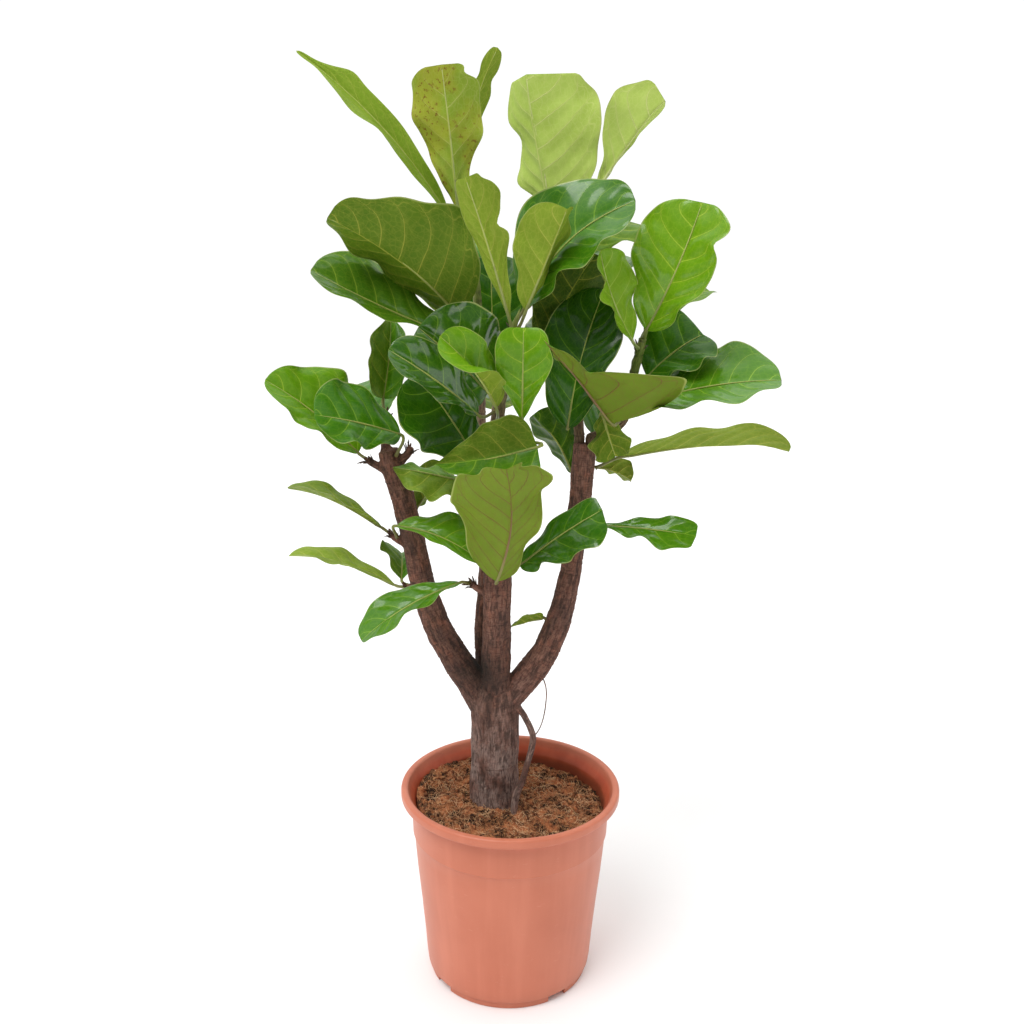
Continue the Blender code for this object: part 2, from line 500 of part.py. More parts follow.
def blade_point(spec, s, t):
    """A point of the blade's middle sheet, and the sheet's up direction; t runs from -1 left to 1 right."""
    middle, _, up, side = blade_axes(spec, s)
    which = 0 if t < 0 else 1
    widest = spec["halves"][which]
    half = widest * outline(s, spec.get("body", (0.75, 0.42)))
    half = math.hypot(half, STALK_RADIUS * (1 - s) ** 4)
    fold = math.radians(spec.get("fold", (15, 15))[which])
    cup = math.radians(spec.get("cup", (10, 10))[which])
    bow = cup * abs(t) * half / widest
    out = widest * (math.sin(fold + bow) - math.sin(fold)) / cup
    rise = widest * (math.cos(fold) - math.cos(fold + bow)) / cup
    return middle + side * math.copysign(out, t) + up * rise, up


def leaf_rings(spec, line):
    """Rings of eight points: round along the stalk, then flat along the blade with a keel below."""
    start, way = stalk_start(line, spec["height"], spec["base"])
    first_middle, first_along, _, _ = blade_axes(spec, 0.0)
    reach = np.linalg.norm(first_middle - start)
    rings = []
    for index in range(STALK_RINGS):
        t = index / STALK_RINGS
        b, c = start + way * reach / 3, first_middle - first_along * reach / 3
        point = (1 - t) ** 3 * start + 3 * (1 - t) ** 2 * t * b + 3 * (1 - t) * t**2 * c + t**3 * first_middle
        along = unit((1 - t) ** 2 * way + 2 * (1 - t) * t * (c - b) / reach * 3 + t**2 * first_along)
        if index == 0:
            along = way
        _, _, up, _ = blade_axes(spec, 0.0)
        up = unit(up - along * (up @ along))
        side = np.cross(along, up)
        rings.append([
            point + STALK_RADIUS * (side * math.cos(a) + up * math.sin(a))
            for a in np.radians([180, 135, 90, 45, 0, -45, -90, -135])
        ])
    for s in BLADE_STATIONS:
        ring = []
        for place, t in enumerate(EDGE_ORDER):
            point, up = blade_point(spec, s, t)
            if place in (1, 2, 3):
                point = point + up * max(UPPER_THICKNESS, STALK_RADIUS * (1 - s / 0.12))
            elif place == 6:
                point = point - up * (LOWER_THICKNESS + KEEL_DEPTH * (1 - s))
            elif place > 4:
                point = point - up * max(LOWER_THICKNESS, STALK_RADIUS * (1 - s / 0.12))
            ring.append(point)
        rings.append(ring)
    return rings, blade_axes(spec, 1.0)[0]


def make_leaf(name, spec, line, collection, material):
    """A loft between unlike sections: a round stalk that spreads into a thin, folded blade."""
    rings, tip = leaf_rings(spec, line)
    shape = bmesh.new()
    loops = [[shape.verts.new(point * CM) for point in ring] for ring in rings]
    count = len(EDGE_ORDER)
    shape.faces.new(loops[0])
    for low, high in zip(loops, loops[1:]):
        for index in range(count):
            after = (index + 1) % count
            shape.faces.new((low[index], low[after], high[after], high[index]))
    end = shape.verts.new(tip * CM)
    for index in range(count):
        shape.faces.new((loops[-1][index], loops[-1][(index + 1) % count], end))
    bmesh.ops.triangulate(shape, faces=shape.faces)
    bmesh.ops.recalc_face_normals(shape, faces=shape.faces)
    return add_object(name, mesh_from(shape), collection, material)


def main():
    for old in list(bpy.data.objects):
        bpy.data.objects.remove(old)
    plant = bpy.data.collections.new("potted_fiddle_leaf_fig")
    cutters = bpy.data.collections.new("cutters")
    bpy.context.scene.collection.children.link(plant)
    bpy.context.scene.collection.children.link(cutters)
    make_pot(plant, cutters)
    make_soil(plant, cutters)
    make_trunk(plant, cutters)
    lines = twig_lines()
    for name in SHOOTS:
        shoot = tube(name, lines[name], SHOOT_SIDES, plant)
        shoot.data.materials.append(new_material(name + "_bark", (0.22, 0.15, 0.08), 0.8))
        shoot.data.shade_smooth()
    for index, (name, spec) in enumerate(LEAVES.items()):
        green = new_material(name + "_green", (0.08 + 0.02 * (index % 4), 0.25, 0.04), 0.4)
        make_leaf(name, spec, lines[spec["twig"]], plant, green)


main()
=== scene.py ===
# %% [markdown]
# # A potted fiddle leaf fig
#
# The object is a young Ficus lyrata as a garden centre sells it: a thick stump that was cut back, four
# limbs that grew from the cut, five leafy shoots on three of them and about fifty large leaves. It stands
# in moist peat and coir in a moulded nursery pot. A imported model already fixes where every piece stands.
# This lesson gives each piece its real surface: veined leaves, furrowed bark, loose soil and matte plastic.
#
# The first cell loads the imported model as a frame that never moves. Everything is in metres, +Z up, the
# front towards -Y, and the pot stands on z = 0. A plant is measured in centimetres, so the rows below are in
# centimetres and CM turns them into metres. The noise has a fixed seed, so each run makes the same plant.

# %% Load the frame
import math

import bmesh
import bpy
import numpy as np
from mathutils import Euler, Matrix, Vector, noise


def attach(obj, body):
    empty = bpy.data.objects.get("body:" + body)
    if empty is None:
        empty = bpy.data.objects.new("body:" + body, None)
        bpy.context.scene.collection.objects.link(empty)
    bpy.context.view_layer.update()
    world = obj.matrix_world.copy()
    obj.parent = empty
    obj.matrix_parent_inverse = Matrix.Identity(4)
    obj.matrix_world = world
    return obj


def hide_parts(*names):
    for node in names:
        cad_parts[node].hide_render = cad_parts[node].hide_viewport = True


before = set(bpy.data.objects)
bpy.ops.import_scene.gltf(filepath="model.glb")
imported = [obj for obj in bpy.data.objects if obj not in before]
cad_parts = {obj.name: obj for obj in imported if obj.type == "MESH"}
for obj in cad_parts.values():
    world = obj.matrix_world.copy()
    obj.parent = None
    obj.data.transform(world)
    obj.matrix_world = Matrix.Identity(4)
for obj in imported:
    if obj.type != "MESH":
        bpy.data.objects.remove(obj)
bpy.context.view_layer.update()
CM = 0.01
NOISE_SEED = 7
noise.seed_set(NOISE_SEED)

# %% [markdown]
# ## Small helpers for pieces
#
# Every piece ends the same way: its bmesh becomes a mesh, the mesh gets its material, the object rides on
# the frame's one body, and the imported nodes that it stands for are hidden. One helper does all of that and
# prints the size of what it made. Two more make the round bodies: one spins a section round the upright axis,
# and one sweeps a stem along a line with a radius at each point. A bevelled curve is the simplest tool for a
# stem, because Blender turns the rings so that the stem never twists.

# %% Piece and stem helpers
def to_mesh(name, shape):
    """The mesh of a bmesh, which is freed."""
    mesh = bpy.data.meshes.new(name)
    shape.to_mesh(mesh)
    shape.free()
    return mesh


def stand(name, data):
    """Puts a mesh, curve, lamp or camera into the scene as an object."""
    made = bpy.data.objects.new(name, data)
    bpy.context.scene.collection.objects.link(made)
    return made


def result_mesh(piece):
    """A mesh of what an object's curve or modifiers make."""
    graph = bpy.context.evaluated_depsgraph_get()
    return bpy.data.meshes.new_from_object(piece.evaluated_get(graph))


def weld(shape, distance=1e-6):
    """Joins the points that coincide and turns every face outwards."""
    bmesh.ops.remove_doubles(shape, verts=shape.verts, dist=distance)
    bmesh.ops.recalc_face_normals(shape, faces=shape.faces)


def points_of(shape):
    """The places of a bmesh's points in cm."""
    return np.array([vert.co for vert in shape.verts]) / CM


def add_piece(name, shape, material, replaces=(), smooth=True):
    """Turns a bmesh into a finished piece on the frame's body."""
    mesh = to_mesh(name, shape)
    piece = stand(name, mesh)
    mesh.materials.append(material)
    if smooth:
        mesh.shade_smooth()
    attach(piece, "root")
    if replaces:
        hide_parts(*replaces)
    print(f"{name}: {sum(len(p.vertices) - 2 for p in mesh.polygons)} triangles")
    return piece


def spun(section, steps):
    """The solid that a section, a line of radius and height in cm, leaves when it turns round the axis."""
    shape = bmesh.new()
    line = [shape.verts.new((r * CM, 0.0, z * CM)) for r, z in section]
    for first, second in zip(line, line[1:]):
        shape.edges.new((first, second))
    bmesh.ops.spin(
        shape, geom=shape.verts[:] + shape.edges[:], axis=(0, 0, 1), cent=(0, 0, 0),
        steps=steps, angle=math.tau, use_merge=True,
    )
    weld(shape)
    return shape


def swept(lines, sides):
    """One mesh with a closed round stem for each line; a line's points are x, y, z and radius in cm."""
    curve = bpy.data.curves.new("line", "CURVE")
    curve.dimensions = "3D"
    curve.bevel_depth = CM
    curve.bevel_resolution = max(0, sides // 2 - 2)
    curve.use_fill_caps = True
    for line in lines:
        spline = curve.splines.new("POLY")
        spline.points.add(len(line) - 1)
        for point, (x, y, z, radius) in zip(spline.points, line):
            point.co = (x * CM, y * CM, z * CM, 1.0)
            point.radius = radius
    guide = stand("line", curve)
    mesh = result_mesh(guide)
    shape = bmesh.new()
    shape.from_mesh(mesh)
    weld(shape)
    bpy.data.objects.remove(guide)
    bpy.data.meshes.remove(mesh)
    bpy.data.curves.remove(curve)
    return shape


def smooth_line(points, pieces=3):
    """More points on a centre line, on a smooth curve through the given ones."""
    line = np.array(points, float)
    ends = np.vstack([2 * line[0] - line[1], line, 2 * line[-1] - line[-2]])
    result = []
    for a, b, c, d in zip(ends, ends[1:], ends[2:], ends[3:]):
        for step in range(pieces):
            t = step / pieces
            result.append(0.5 * (2 * b + (c - a) * t + (2 * a - 5 * b + 4 * c - d) * t**2
                                 + (3 * b - a - 3 * c + d) * t**3))
    return [*map(tuple, result), tuple(line[-1])]


def unit(vector):
    vector = np.asarray(vector, float)
    return vector / np.linalg.norm(vector)


# %% [markdown]
# ## Small helpers for materials
#
# All finishes here are built from nodes. Written out in full, a tree of forty nodes is hard to read, so a
# small class adds a node and wires it in one line. A value that is a socket is linked, and any other value
# is set on the input.

# %% Node helper
class Tree:
    """Adds and wires shader nodes in a material's or a group's node tree."""

    def __init__(self, tree):
        self.tree = tree

    def put(self, socket, value):
        if isinstance(value, bpy.types.NodeSocket):
            self.tree.links.new(value, socket)
        else:
            socket.default_value = value

    def node(self, kind, inputs=None, **settings):
        made = self.tree.nodes.new("ShaderNode" + kind)
        for key, value in settings.items():
            setattr(made, key, value)
        for key, value in (inputs or {}).items():
            self.put(made.inputs[key], value)
        return made

    def math(self, operation, *values):
        made = self.node("Math", operation=operation)
        for socket, value in zip(made.inputs, values):
            self.put(socket, value)
        return made.outputs[0]

    def times(self, a, b):
        return self.math("MULTIPLY", a, b)

    def plus(self, a, b):
        return self.math("ADD", a, b)

    def minus(self, a, b):
        return self.math("SUBTRACT", a, b)

    def apart(self, a, b):
        return self.math("ABSOLUTE", self.minus(a, b))

    def mix(self, factor, a, b):
        """Colour a where the factor is 0 and colour b where it is 1."""
        made = self.node("Mix", data_type="RGBA")
        self.put(made.inputs[0], factor)
        for socket, value in ((made.inputs[6], a), (made.inputs[7], b)):
            self.put(socket, (*value, 1.0) if isinstance(value, tuple) and len(value) == 3 else value)
        return made.outputs[2]

    def layers(self, colour, *rows):
        """Lays each row's colour over the one before, where its mask is 1 and by its share."""
        for mask, share, new in rows:
            colour = self.mix(self.times(mask, share), colour, new)
        return colour

    def blend(self, factor, a, b):
        """Value a where the factor is 0 and value b where it is 1."""
        made = self.node("Mix", data_type="FLOAT")
        for socket, value in ((made.inputs[0], factor), (made.inputs[2], a), (made.inputs[3], b)):
            self.put(socket, value)
        return made.outputs[0]

    def span(self, value, low, high, start=0.0, end=1.0):
        """start where value is low, end where it is high, smoothly between."""
        made = self.node("MapRange", interpolation_type="SMOOTHSTEP")
        for socket, number in zip(made.inputs, (value, low, high, start, end)):
            self.put(socket, number)
        return made.outputs[0]

    def noise(self, vector, scale, detail=2.0, rough=0.5, warp=0.0):
        made = self.node("TexNoise", {"Vector": vector, "Scale": scale, "Detail": detail,
                                      "Roughness": rough, "Distortion": warp})
        return made.outputs["Fac"]

    def stretch(self, vector, x, y, z):
        made = self.node("Mapping", {"Vector": vector, "Scale": (x, y, z)})
        return made.outputs[0]

    def attribute(self, name, output="Vector"):
        return self.node("Attribute", attribute_name=name, attribute_type="GEOMETRY").outputs[output]

    def split(self, vector):
        return self.node("SeparateXYZ", {0: vector}).outputs[:]

    def place(self):
        return self.node("TexCoord").outputs["Object"]


def new_group(name, outputs):
    """The node helper of a new group, and its output node with the named sockets."""
    group = bpy.data.node_groups.new(name, "ShaderNodeTree")
    for socket, kind in outputs:
        group.interface.new_socket(socket, in_out="OUTPUT", socket_type="NodeSocket" + kind)
    return Tree(group), group.nodes.new("NodeGroupOutput")


def new_material(name, roughness=0.5, **sockets):
    """A material, its node helper, and its Principled shader with the given plain values."""
    material = bpy.data.materials.new(name)
    material.use_nodes = True
    tree = Tree(material.node_tree)
    shader = material.node_tree.nodes["Principled BSDF"]
    shader.inputs["Roughness"].default_value = roughness
    for key, value in sockets.items():
        shader.inputs[key.replace("_", " ")].default_value = value
    return material, tree, shader


def add_bump(tree, shader, height, strength, distance):
    made = tree.node("Bump", {"Height": height, "Strength": strength, "Distance": distance})
    tree.put(shader.inputs["Normal"], made.outputs[0])


# %% [markdown]
# ## Camera, floor and light
#
# The camera stands at the height of the crown, just over a metre away, and looks a little down, so the near
# leaves look large and the pot tapers downwards. The floor is one pale sheet, and the light is a bright
# white tent with one broad lamp high on the left. The tent gives the leaves their wide soft highlights, and
# the lamp puts the faint shadow on the floor to the right of the pot.

# %% Camera
CAMERA_PLACE = (-0.0017, -1.2, 0.892)
CAMERA_PITCH = math.radians(90 - 13.98)
CAMERA_ROLL = math.radians(0.64)
SENSOR_WIDTH, FOCAL_LENGTH = 36.0, 37.37
lens = bpy.data.cameras.new("camera")
lens.sensor_width, lens.lens = SENSOR_WIDTH, FOCAL_LENGTH
camera = stand("camera", lens)
camera.matrix_world = (
    Matrix.Translation(CAMERA_PLACE)
    @ Euler((CAMERA_PITCH, 0, 0)).to_matrix().to_4x4()
    @ Matrix.Rotation(CAMERA_ROLL, 4, "Z")
)
bpy.context.scene.camera = camera

# %% Floor
FLOOR_REACH = 6.0
shape = bmesh.new()
bmesh.ops.create_grid(shape, x_segments=4, y_segments=4, size=FLOOR_REACH)
floor = stand("floor", to_mesh("floor", shape))
paper, tree, shader = new_material("floor_paper", 0.9, Specular_IOR_Level=0.1)
grain = tree.noise(tree.place(), 9.0, 3.0)
tree.put(shader.inputs["Base Color"], tree.mix(grain, (0.93, 0.93, 0.93), (0.96, 0.96, 0.96)))
floor.data.materials.append(paper)

# %% Light
TENT_FRONT, TENT_BACK, TENT_TOP, TENT_SEEN = 0.15, 0.58, 0.86, 1.05
LAMP_POWER, LAMP_WIDTH, LAMP_WAY = 1.38, math.radians(32), (0.45, 0.5, -1.0)
tent = bpy.data.worlds.new("tent")
tent.use_nodes = True
bpy.context.scene.world = tent
tree = Tree(tent.node_tree)
_, towards_back, upwards = tree.split(tree.node("TexCoord").outputs["Generated"])
walls = tree.span(towards_back, -0.75, 0.25, TENT_FRONT, TENT_BACK)
level = tree.plus(walls, tree.span(upwards, 0.1, 0.95, 0.0, TENT_TOP))
seen = tree.node("LightPath").outputs["Is Camera Ray"]
background = tent.node_tree.nodes["Background"]
background.inputs["Color"].default_value = (1.0, 1.0, 1.0, 1.0)
tree.put(background.inputs["Strength"], tree.blend(seen, level, TENT_SEEN))

lamp = bpy.data.lights.new("key_lamp", "SUN")
lamp.energy, lamp.angle = LAMP_POWER, LAMP_WIDTH
key = stand("key_lamp", lamp)
key.matrix_world = Vector(LAMP_WAY).to_track_quat("-Z", "Y").to_matrix().to_4x4()
bpy.context.scene.view_settings.view_transform = "Standard"
print("camera, floor and light are in place")


# %% [markdown]
# ## The pot
#
# A nursery pot is one injection moulding in polypropylene. Half of its section is enough to describe it: a
# rolled rim, a collar that ends in a faint step, a long tapering wall, a small step above the foot and the
# inside face going back up. Drawing that section as a line and spinning it round the axis gives the pot in
# one move, the same way a potter's profile works. The four drainage channels are cut afterwards with boxes.

# %% Pot section
POT_HEIGHT, RIM_RADIUS, RIM_DEPTH = 24.7, 13.5, 1.1
FLOOR_THICKNESS, FOOT_RADIUS, FOOT_HEIGHT, STEP_HEIGHT, WALL = 1.6, 9.95, 0.9, 18.9, 0.4
POT_STEPS = 160
INSIDE_ABOVE, INSIDE_WITHIN = 0.2, 12.3


def arc(centre_r, centre_z, radius, start, end, count):
    """Points on part of a circle in the section; angles in degrees from straight outwards."""
    return [
        (centre_r + radius * math.cos(a), centre_z + radius * math.sin(a))
        for a in np.radians(np.linspace(start, end, count))
    ]


top = POT_HEIGHT - RIM_DEPTH / 2
section = [
    (0.0, FLOOR_THICKNESS), (4.0, FLOOR_THICKNESS), (9.3, FLOOR_THICKNESS), *arc(9.3, 2.0, 0.4, -90, -10, 5),
    (10.65 - WALL, 5.3), (11.5 - WALL, 13.9), (12.0 - WALL, 20.0), (12.1 - WALL, 22.7), (11.78, 22.95),
    (12.2, 23.55), *arc(RIM_RADIUS - 0.5, top + 0.1, 0.45, 165, 90, 6),
    *arc(RIM_RADIUS - 0.35, POT_HEIGHT - 0.35, 0.35, 80, 0, 6), *arc(RIM_RADIUS - 0.2, 23.78, 0.2, 0, -80, 5),
    (12.9, 23.56), (12.5, 23.56), *arc(12.42, 23.36, 0.2, 100, 175, 4), (12.2, 22.4), (12.13, 20.6),
    *arc(12.0, STEP_HEIGHT + 0.1, 0.07, 20, -80, 4), (11.93, STEP_HEIGHT - 0.06), (11.9, STEP_HEIGHT - 0.12),
    (11.78, 17.2), (11.5, 13.9), (11.05, 9.6), (10.65, 5.3), (10.4, 2.0), (10.29, FOOT_HEIGHT + 0.28),
    *arc(10.17, FOOT_HEIGHT + 0.16, 0.1, 0, -80, 4), (9.99, FOOT_HEIGHT), (FOOT_RADIUS, FOOT_HEIGHT - 0.06),
    (FOOT_RADIUS, 0.45), *arc(FOOT_RADIUS - 0.12, 0.12, 0.12, 0, -90, 4), (8.9, 0.0), (8.75, 0.06),
    (6.0, 0.06), (5.85, 0.0), (5.2, 0.0), (5.05, 0.08), (0.9, 0.08), (0.75, 0.14), (0.0, 0.14),
]
shape = spun(section, POT_STEPS)
inner_layer = shape.verts.layers.float.new("inner")
for face in shape.faces:
    middle = face.calc_center_median()
    faces_in = face.normal.xy.dot(middle.xy) < 0 or face.normal.z > 0.9
    if faces_in and middle.z > INSIDE_ABOVE * CM and middle.xy.length < INSIDE_WITHIN * CM:
        for vert in face.verts:
            vert[inner_layer] = 1.0
print("pot section:", len(section), "points, spun in", POT_STEPS, "steps")

# %% [markdown]
# The plastic is matte terracotta with a slight sheen. Close up it is not one colour: the melt flowed down
# from the rim and left faint upright streaks, handling has scuffed it a little paler, and the outside is a
# little darker in its last three centimetres above the floor. Inside, the wall is painted darker and redder
# as shade, and it is darker still just above the soil.

# %% Pot plastic
plastic, tree, shader = new_material(
    "terracotta_plastic", Coat_Weight=0.06, Coat_Roughness=0.35, Specular_IOR_Level=0.4
)
place = tree.place()
height = tree.split(place)[2]
flow = tree.noise(tree.stretch(place, 34, 34, 2.2), 1.0, 3.0, 0.55)
cloud = tree.noise(place, 13.0, 3.0, 0.5)
scuffs = tree.span(tree.noise(tree.stretch(place, 60, 60, 160), 1.0, 4.0, 0.7), 0.62, 0.75)
outside = tree.layers(
    tree.mix(tree.span(cloud, 0.3, 0.7), (0.57, 0.165, 0.09), (0.62, 0.19, 0.108)),
    (tree.span(flow, 0.42, 0.75), 0.4, (0.72, 0.245, 0.15)),
    (scuffs, 0.18, (0.8, 0.42, 0.32)),
    (tree.span(height, 0.03, 0.0), tree.times(cloud, 0.35), (0.36, 0.14, 0.08)),
)
# Below this wavy edge the inside is darker still, just above the soil.
dark_band_edge = tree.plus(height, tree.times(tree.minus(cloud, 0.5), 0.03))
# Painted shade: the inside wall is darker and redder than the outside.
inside = tree.layers(
    tree.mix(tree.span(flow, 0.35, 0.7), (0.5, 0.085, 0.035), (0.6, 0.12, 0.052)),
    (tree.span(dark_band_edge, 0.236, 0.218), 0.75, (0.12, 0.035, 0.016)),
)
inner = tree.attribute("inner", "Fac")
tree.put(shader.inputs["Base Color"], tree.mix(inner, outside, inside))
tree.put(shader.inputs["Roughness"], tree.blend(scuffs, tree.blend(cloud, 0.36, 0.46), 0.6))
fine = tree.noise(place, 900.0, 2.0, 0.6)
add_bump(tree, shader, tree.blend(0.25, fine, flow), 0.12, 0.0006)
pot = add_piece("nursery_pot", shape, plastic, ["pot"])

# %% [markdown]
# Four channels cross the foot, so that water can run out from under the pot. Each is a box laid along a
# radius and taken away with a Boolean. A narrow Bevel then softens every sharp edge that the cuts leave, as
# a mould does.

# %% Drainage channels
NOTCH_COUNT, NOTCH_FIRST, NOTCH_WIDTH, NOTCH_REACH = 4, 37.0, 2.6, 6.0
cutter_shape = bmesh.new()
for index in range(NOTCH_COUNT):
    angle = NOTCH_FIRST + index * 360 / NOTCH_COUNT
    length = RIM_RADIUS - NOTCH_REACH
    size = Matrix.Diagonal((length * CM, NOTCH_WIDTH * CM, 2 * FOOT_HEIGHT * CM, 1.0))
    turned = Matrix.Rotation(math.radians(angle), 4, "Z")
    moved = Matrix.Translation(((NOTCH_REACH + length / 2) * CM, 0, 0))
    bmesh.ops.create_cube(cutter_shape, size=1.0, matrix=turned @ moved @ size)
channels = stand("channels", to_mesh("channels", cutter_shape))
cut = pot.modifiers.new("channels", "BOOLEAN")
cut.operation, cut.solver, cut.object = "DIFFERENCE", "EXACT", channels
soften = pot.modifiers.new("soft_edges", "BEVEL")
soften.width, soften.segments, soften.limit_method = 0.0006, 2, "ANGLE"
soften.angle_limit = math.radians(60)
cut_mesh = result_mesh(pot)
pot.modifiers.clear()
pot.data = cut_mesh
cut_mesh.shade_smooth()
cut_mesh.set_sharp_from_angle(angle=math.radians(50))
bpy.data.objects.remove(channels)
print("pot with channels:", len(cut_mesh.polygons), "faces")

# %% [markdown]
# ## The soil
#
# Potting soil for figs is peat with chopped coconut fibre. Three things make it read as soil: an uneven
# bed, loose crumbs lying on it, and the golden fibres that catch the light. The bed is a spun disc with
# many rings, moved up and down by layered noise. It slopes down to the right and banks up at the back left,
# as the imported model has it.

# %% Soil bed
SOIL_LEVEL, SOIL_RADIUS, SOIL_LIFT = 22.1, 11.6, 0.12
SOIL_BELOW = ((11.4, 18.0), (11.0, 13.9), (0.0, 13.9))
SOIL_RINGS, SOIL_STEPS = 84, 168


def soil_height(x, y):
    """The height of the bed without its lumps, at a place in cm."""
    bank = 0.4 * max(0.0, (-0.8 * x + 0.6 * y) / 11.5) ** 2
    return SOIL_LEVEL - 0.075 * x - 0.025 * y + bank + 0.15 * math.sin(0.9 * x + 1.0) * math.cos(0.8 * y)


def soil_lumps(x, y):
    """Clods of about 2 cm, crumbs of a few millimetres, and sharp little pits between them, in cm."""
    clods = noise.fractal((x * 0.5, y * 0.5, 3.1), 0.8, 2.0, 3)
    crumbs = noise.fractal((x * 2.3, y * 2.3, 7.7), 0.7, 2.1, 3)
    pits = abs(noise.noise((x * 1.4, y * 1.4, 1.3)))
    return 0.42 * clods + 0.3 * crumbs - 0.5 * max(0.0, 0.3 - pits)


def soil_top(x, y):
    return soil_height(x, y) + soil_lumps(x, y) + SOIL_LIFT


surface_line = [(SOIL_RADIUS * (i / SOIL_RINGS) ** 0.9, SOIL_LEVEL) for i in range(SOIL_RINGS + 1)]
shape = spun([*surface_line, *SOIL_BELOW], SOIL_STEPS)
for vert in shape.verts:
    if abs(vert.co.z - SOIL_LEVEL * CM) < 1e-6:
        vert.co.z = soil_top(vert.co.x / CM, vert.co.y / CM) * CM


# %% Soil finish
def soil_colour(tree, place):
    """Dark damp peat with reddish and golden grains; also puts out the grain height."""
    clump = tree.noise(place, 60.0, 4.0, 0.6)
    grains = tree.noise(place, 420.0, 3.0, 0.65)
    colour = tree.layers(
        tree.mix(tree.span(clump, 0.4, 0.62), (0.022, 0.008, 0.004), (0.35, 0.12, 0.048)),
        (tree.span(grains, 0.5, 0.72), 0.75, (0.56, 0.27, 0.11)),
        (tree.span(tree.noise(place, 700.0, 2.0, 0.6), 0.6, 0.72), 0.6, (0.75, 0.45, 0.22)),
    )
    return colour, tree.blend(0.45, clump, grains)


peat, tree, shader = new_material("damp_peat", 0.95, Specular_IOR_Level=0.25)
colour, relief = soil_colour(tree, tree.place())
tree.put(shader.inputs["Base Color"], colour)
add_bump(tree, shader, relief, 0.9, 0.004)
add_piece("soil_bed", shape, peat, ["soil"])

# %% [markdown]
# Crumbs are little balls with twenty faces each, squashed and turned at random so that no two look alike.
# There are nearly two thousand of them, so they stay that simple. Each one sits partly in the bed.

# %% Soil crumbs
CRUMBS = 1900
LOOSE_REACH, STUMP_PLACE = 11.2, (-2.0, 0.4)
rng = np.random.default_rng(21)


def soil_place(rng, clear_of_stump=3.3):
    """A random place on the bed, clear of the stump and the pot wall."""
    while True:
        x, y = rng.uniform(-LOOSE_REACH, LOOSE_REACH, 2)
        from_stump = math.hypot(x - STUMP_PLACE[0], y - STUMP_PLACE[1])
        if math.hypot(x, y) < LOOSE_REACH and from_stump > clear_of_stump:
            return x, y


def random_turn(rng):
    return Euler(rng.uniform(0, math.tau, 3)).to_matrix().to_4x4()


shape = bmesh.new()
for _ in range(CRUMBS):
    x, y = soil_place(rng)
    size = 0.08 + 0.26 * rng.random() ** 4
    squash = Matrix.Diagonal((*(size * CM * rng.uniform(0.6, 1.3, 3)), 1.0))
    spot = Matrix.Translation((x * CM, y * CM, (soil_top(x, y) + 0.3 * size) * CM))
    bmesh.ops.create_icosphere(shape, subdivisions=1, radius=1.0, matrix=spot @ random_turn(rng) @ squash)
for vert in shape.verts:
    vert.co += Vector(noise.noise_vector(vert.co * 900)) * 0.0007
crumb, tree, shader = new_material("peat_crumb", 0.95, Specular_IOR_Level=0.25)
colour, relief = soil_colour(tree, tree.place())
shade = tree.noise(tree.place(), 130.0, 0.0)
colour = tree.layers(colour, (tree.span(shade, 0.48, 0.34), 0.7, (0.06, 0.022, 0.011)))
tree.put(shader.inputs["Base Color"], tree.mix(tree.span(shade, 0.56, 0.72), colour, (0.4, 0.19, 0.085)))
add_bump(tree, shader, relief, 0.6, 0.002)
add_piece("soil_crumbs", shape, crumb, smooth=False)

# %% [markdown]
# Coir fibres are stiff golden hairs one or two centimetres long. Each is a thin curved stem of four sides
# on a line that wanders over the bed. Most lie flat, and a few stick up.

# %% Coir fibres
FIBRES, FIBRE_STEPS, FIBRE_REACH = 1500, 5, 11.35
lines = []
for _ in range(FIBRES):
    x, y = soil_place(rng, 3.2)
    heading, turn = rng.uniform(0, math.tau), rng.normal(0, 0.35)
    length = rng.uniform(0.5, 2.6)
    lift = rng.uniform(0.02, 0.12) + (0.5 * rng.random() if rng.random() < 0.12 else 0.0)
    radius = rng.uniform(0.016, 0.036)
    points = []
    for step in range(FIBRE_STEPS + 1):
        t = step / FIBRE_STEPS
        if math.hypot(x, y) > FIBRE_REACH:
            break
        points.append((x, y, soil_top(x, y) + 0.03 + lift * math.sin(math.pi * t), radius * (1 - 0.6 * t)))
        x += length / FIBRE_STEPS * math.cos(heading)
        y += length / FIBRE_STEPS * math.sin(heading)
        heading += turn + rng.normal(0, 0.25)
    if len(points) > 2:
        lines.append(points)
shape = swept(lines, 4)
fibre, tree, shader = new_material("coir_fibre", 0.6)
tint = tree.noise(tree.place(), 45.0, 2.0)
along = tree.noise(tree.place(), 400.0, 1.0)
colour = tree.mix(tree.span(tint, 0.35, 0.65), (0.4, 0.15, 0.055), (0.88, 0.54, 0.3))
tree.put(shader.inputs["Base Color"], tree.layers(colour, (along, 0.5, (0.4, 0.2, 0.08))))
add_bump(tree, shader, along, 0.3, 0.0005)
add_piece("coir_fibres", shape, fibre)

# %% [markdown]
# ## The wood
#
# The stump, the limbs that grew from its cut, the dead spurs and the aerial root are one piece of living
# wood. Each is described by a centre line, whose points are x, y, z and the radius in cm.

